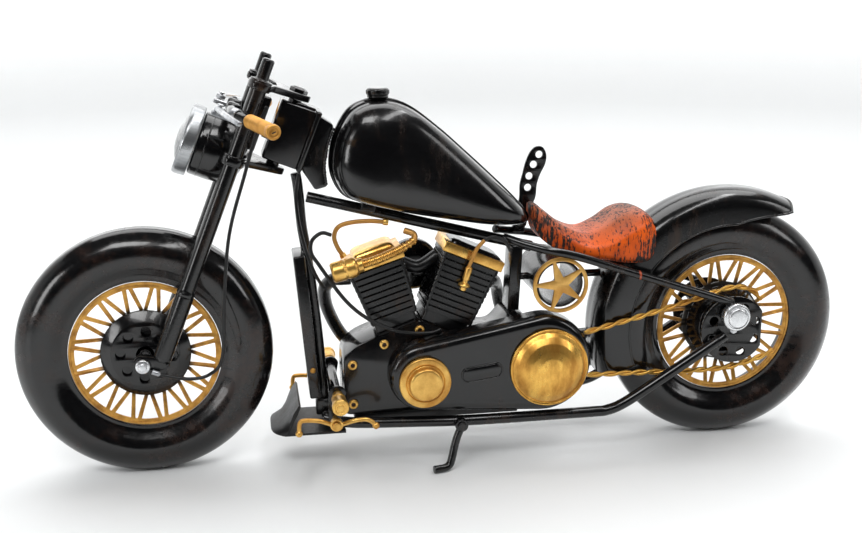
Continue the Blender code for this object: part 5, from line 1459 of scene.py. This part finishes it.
def buildFeet():
    skid = [(-85, 17.4), (-50, 17.4), (-50, 18.5), (-80.0, 18.5), (-77.0, 20.6), (-74.6, 23.8),
            (-72.6, 27.6), (-70.9, 31.6), (-71.8, 32.5), (-74.4, 28.4), (-77.0, 24.0), (-80.6, 20.2),
            (-85, 18.2)]
    plateBlack = makeBlack("plateBlack", rough=(0.36, 0.52), lumps=0.03, coat=0.04, brushed=0.02)
    rings = []
    for step in range(33):
        y = -17 + 34 * step / 32
        back = 6.5 * (abs(y) / 17) ** 4
        rings.append([(x + back * min(1, max(0, (-76 - x) / 8)), y, z) for x, z in skid])
    addPiece("skidPlate", [(skinSolid(rings), plateBlack)], "chassis", ["skid_plate"], sharp=50)

    x, z = feet["bar"]
    half, thick = feet["barHalf"], feet["barRadius"]
    bar = latheSolid([(0, -half), (thick, -half), (thick, half), (0, half)], 32)
    solids = [(bar, frameBlack, facingLeft(x, 0, z))]
    peg = [(0, -1), (2.6, -1), (2.6, 3), (3.3, 3.3), (3.3, 5.4), (3.0, 5.7), (3.0, 6.2), (3.3, 6.5),
           (3.4, 12), (3.9, 12.4), (3.9, 14.8), (3.5, 15.3), (2.6, 15.4), (2.4, 15.0), (1.6, 15.0),
           (1.5, 15.5), (0, 15.6)]
    eye = [(4.4 * math.sin(math.radians(a)), 4.4 * math.cos(math.radians(a))) for a in (-70, -35, 0, 35,
                                                                                        70)]
    foot = [(-1.5 + 3.2 * math.sin(math.radians(a)), -10.9 + 3.2 * math.cos(math.radians(a)))
            for a in (110, 145, 180, 215, 250)]
    for sign, turn in ((-1, facingLeft), (1, facingRight)):
        solids.append((turnedSolid(peg, 0.25, 3, 48), gold,
                       turn(x, sign * half, z)))
        loop = softened(eye + foot, 1.0, 3, loop=True)
        solids.append((plateSolid(loop, [], 1.6, 0.35), frameBlack,
                       facingLeft(x, sign * feet["tab"], z)))
        stud = [(0, 0), (1.2, 0), (1.2, 12.0), (2.0, 12.0), (2.0, 13.0), (1.6, 13.2), (0, 13.2)]
        solids.append((turnedSolid(stud, 0.15, 2, 24), gold,
                       turn(feet["pedal"][0], sign * feet["tab"], feet["pedal"][1])))
    addPiece("footPegs", solids, "chassis", ["foot_pegs"])

    for name, node, sign, runs, balls in (("shiftPedal", "shift_pedal", -1,
                                           [[(-2.5, 0.2), (-8, 2.2), (-14.6, 2.8), (-16.8, 1.6),
                                             (-17.2, -3.4)],
                                            [(2.5, -0.2), (8.0, 1.2), (13.0, 1.6), (16.2, 0.4),
                                             (18.0, -1.6)]], [(-17.2, -3.4), (18.2, -1.8)]),
                                          ("brakePedal", "brake_pedal", 1,
                                           [[(-2.5, 0.2), (-8, 2.2), (-14.6, 2.8), (-16.8, 1.6),
                                             (-17.2, -3.4)]], [(-17.2, -3.4)])):
        solids = [(turnedSolid(ringProfile(1.6, 3.0, -1.7, 1.7), 0.45, 3, 40, True), gold)]
        for run in runs:
            solids.append((pipeSolid([(x, z, 0) for x, z in run], 1.05, 18, 6), gold))
        for x, z in balls:
            ball = bmesh.new()
            bmesh.ops.create_uvsphere(ball, u_segments=28, v_segments=18, radius=1.7 * mm)
            bmesh.ops.scale(ball, vec=(1, 1, 0.94), verts=ball.verts)
            solids.append((ball, gold, shifted(x, z, 0)))
        addPiece(name, solids, name.replace("Pedal", "_pedal"), [node],
                 atJoint(f"{node}_hinge"))

    stem = 1.9
    drop = -(tubes["railHeight"] - stem)
    route = [(-0.6, -2.3, 0), (-2.2, -6.0, 0.5), (-3.6, -10.5, 1.2), (-4.8, drop + 4.6, 2.2),
             (-6.0, drop + 1.4, 2.9), (-8.4, drop + 0.05, 3.8), (-14.0, drop, 5.2)]
    eye = turnedSolid(ringProfile(1.6, 3.1, -1.8, 1.8), 0.4, 3, 40, True)
    addPiece("kickstand", [(eye, frameBlack),
                           (pipeSolid(route, stem, 24, 6), frameBlack)], "kickstand", ["kickstand"],
             place=atJoint("kickstand_hinge"))

    shape = [(-3.2, -1.0), (0, -3.2), (3.2, -1.0), (3.8, 5), (7.4, 12), (8.2, 19), (9.8, 24), (12.2, 29),
             (12.6, 33.6), (10.6, 37.2), (7.0, 37.3), (4.2, 34.4), (2.2, 29.6), (0.9, 24.4), (-0.4, 19.0),
             (-0.6, 12), (-2.6, 5)]
    loop = flowing(shape, 4, loop=True)
    holes = [roundLoop(1.65, 24)]
    for x, z in ((9.0, 33.6), (6.3, 28.8), (4.2, 23.2), (3.6, 17.6)):
        holes.append(roundLoop(1.75, 32, (x, z)))
    addPiece("handShifter", [(plateSolid(loop, holes, 1.4, 0.3), frameBlack)], "hand_shifter",
             ["hand_shifter"], place=atJoint("hand_shifter_hinge"))


buildFeet()
print("controls built")
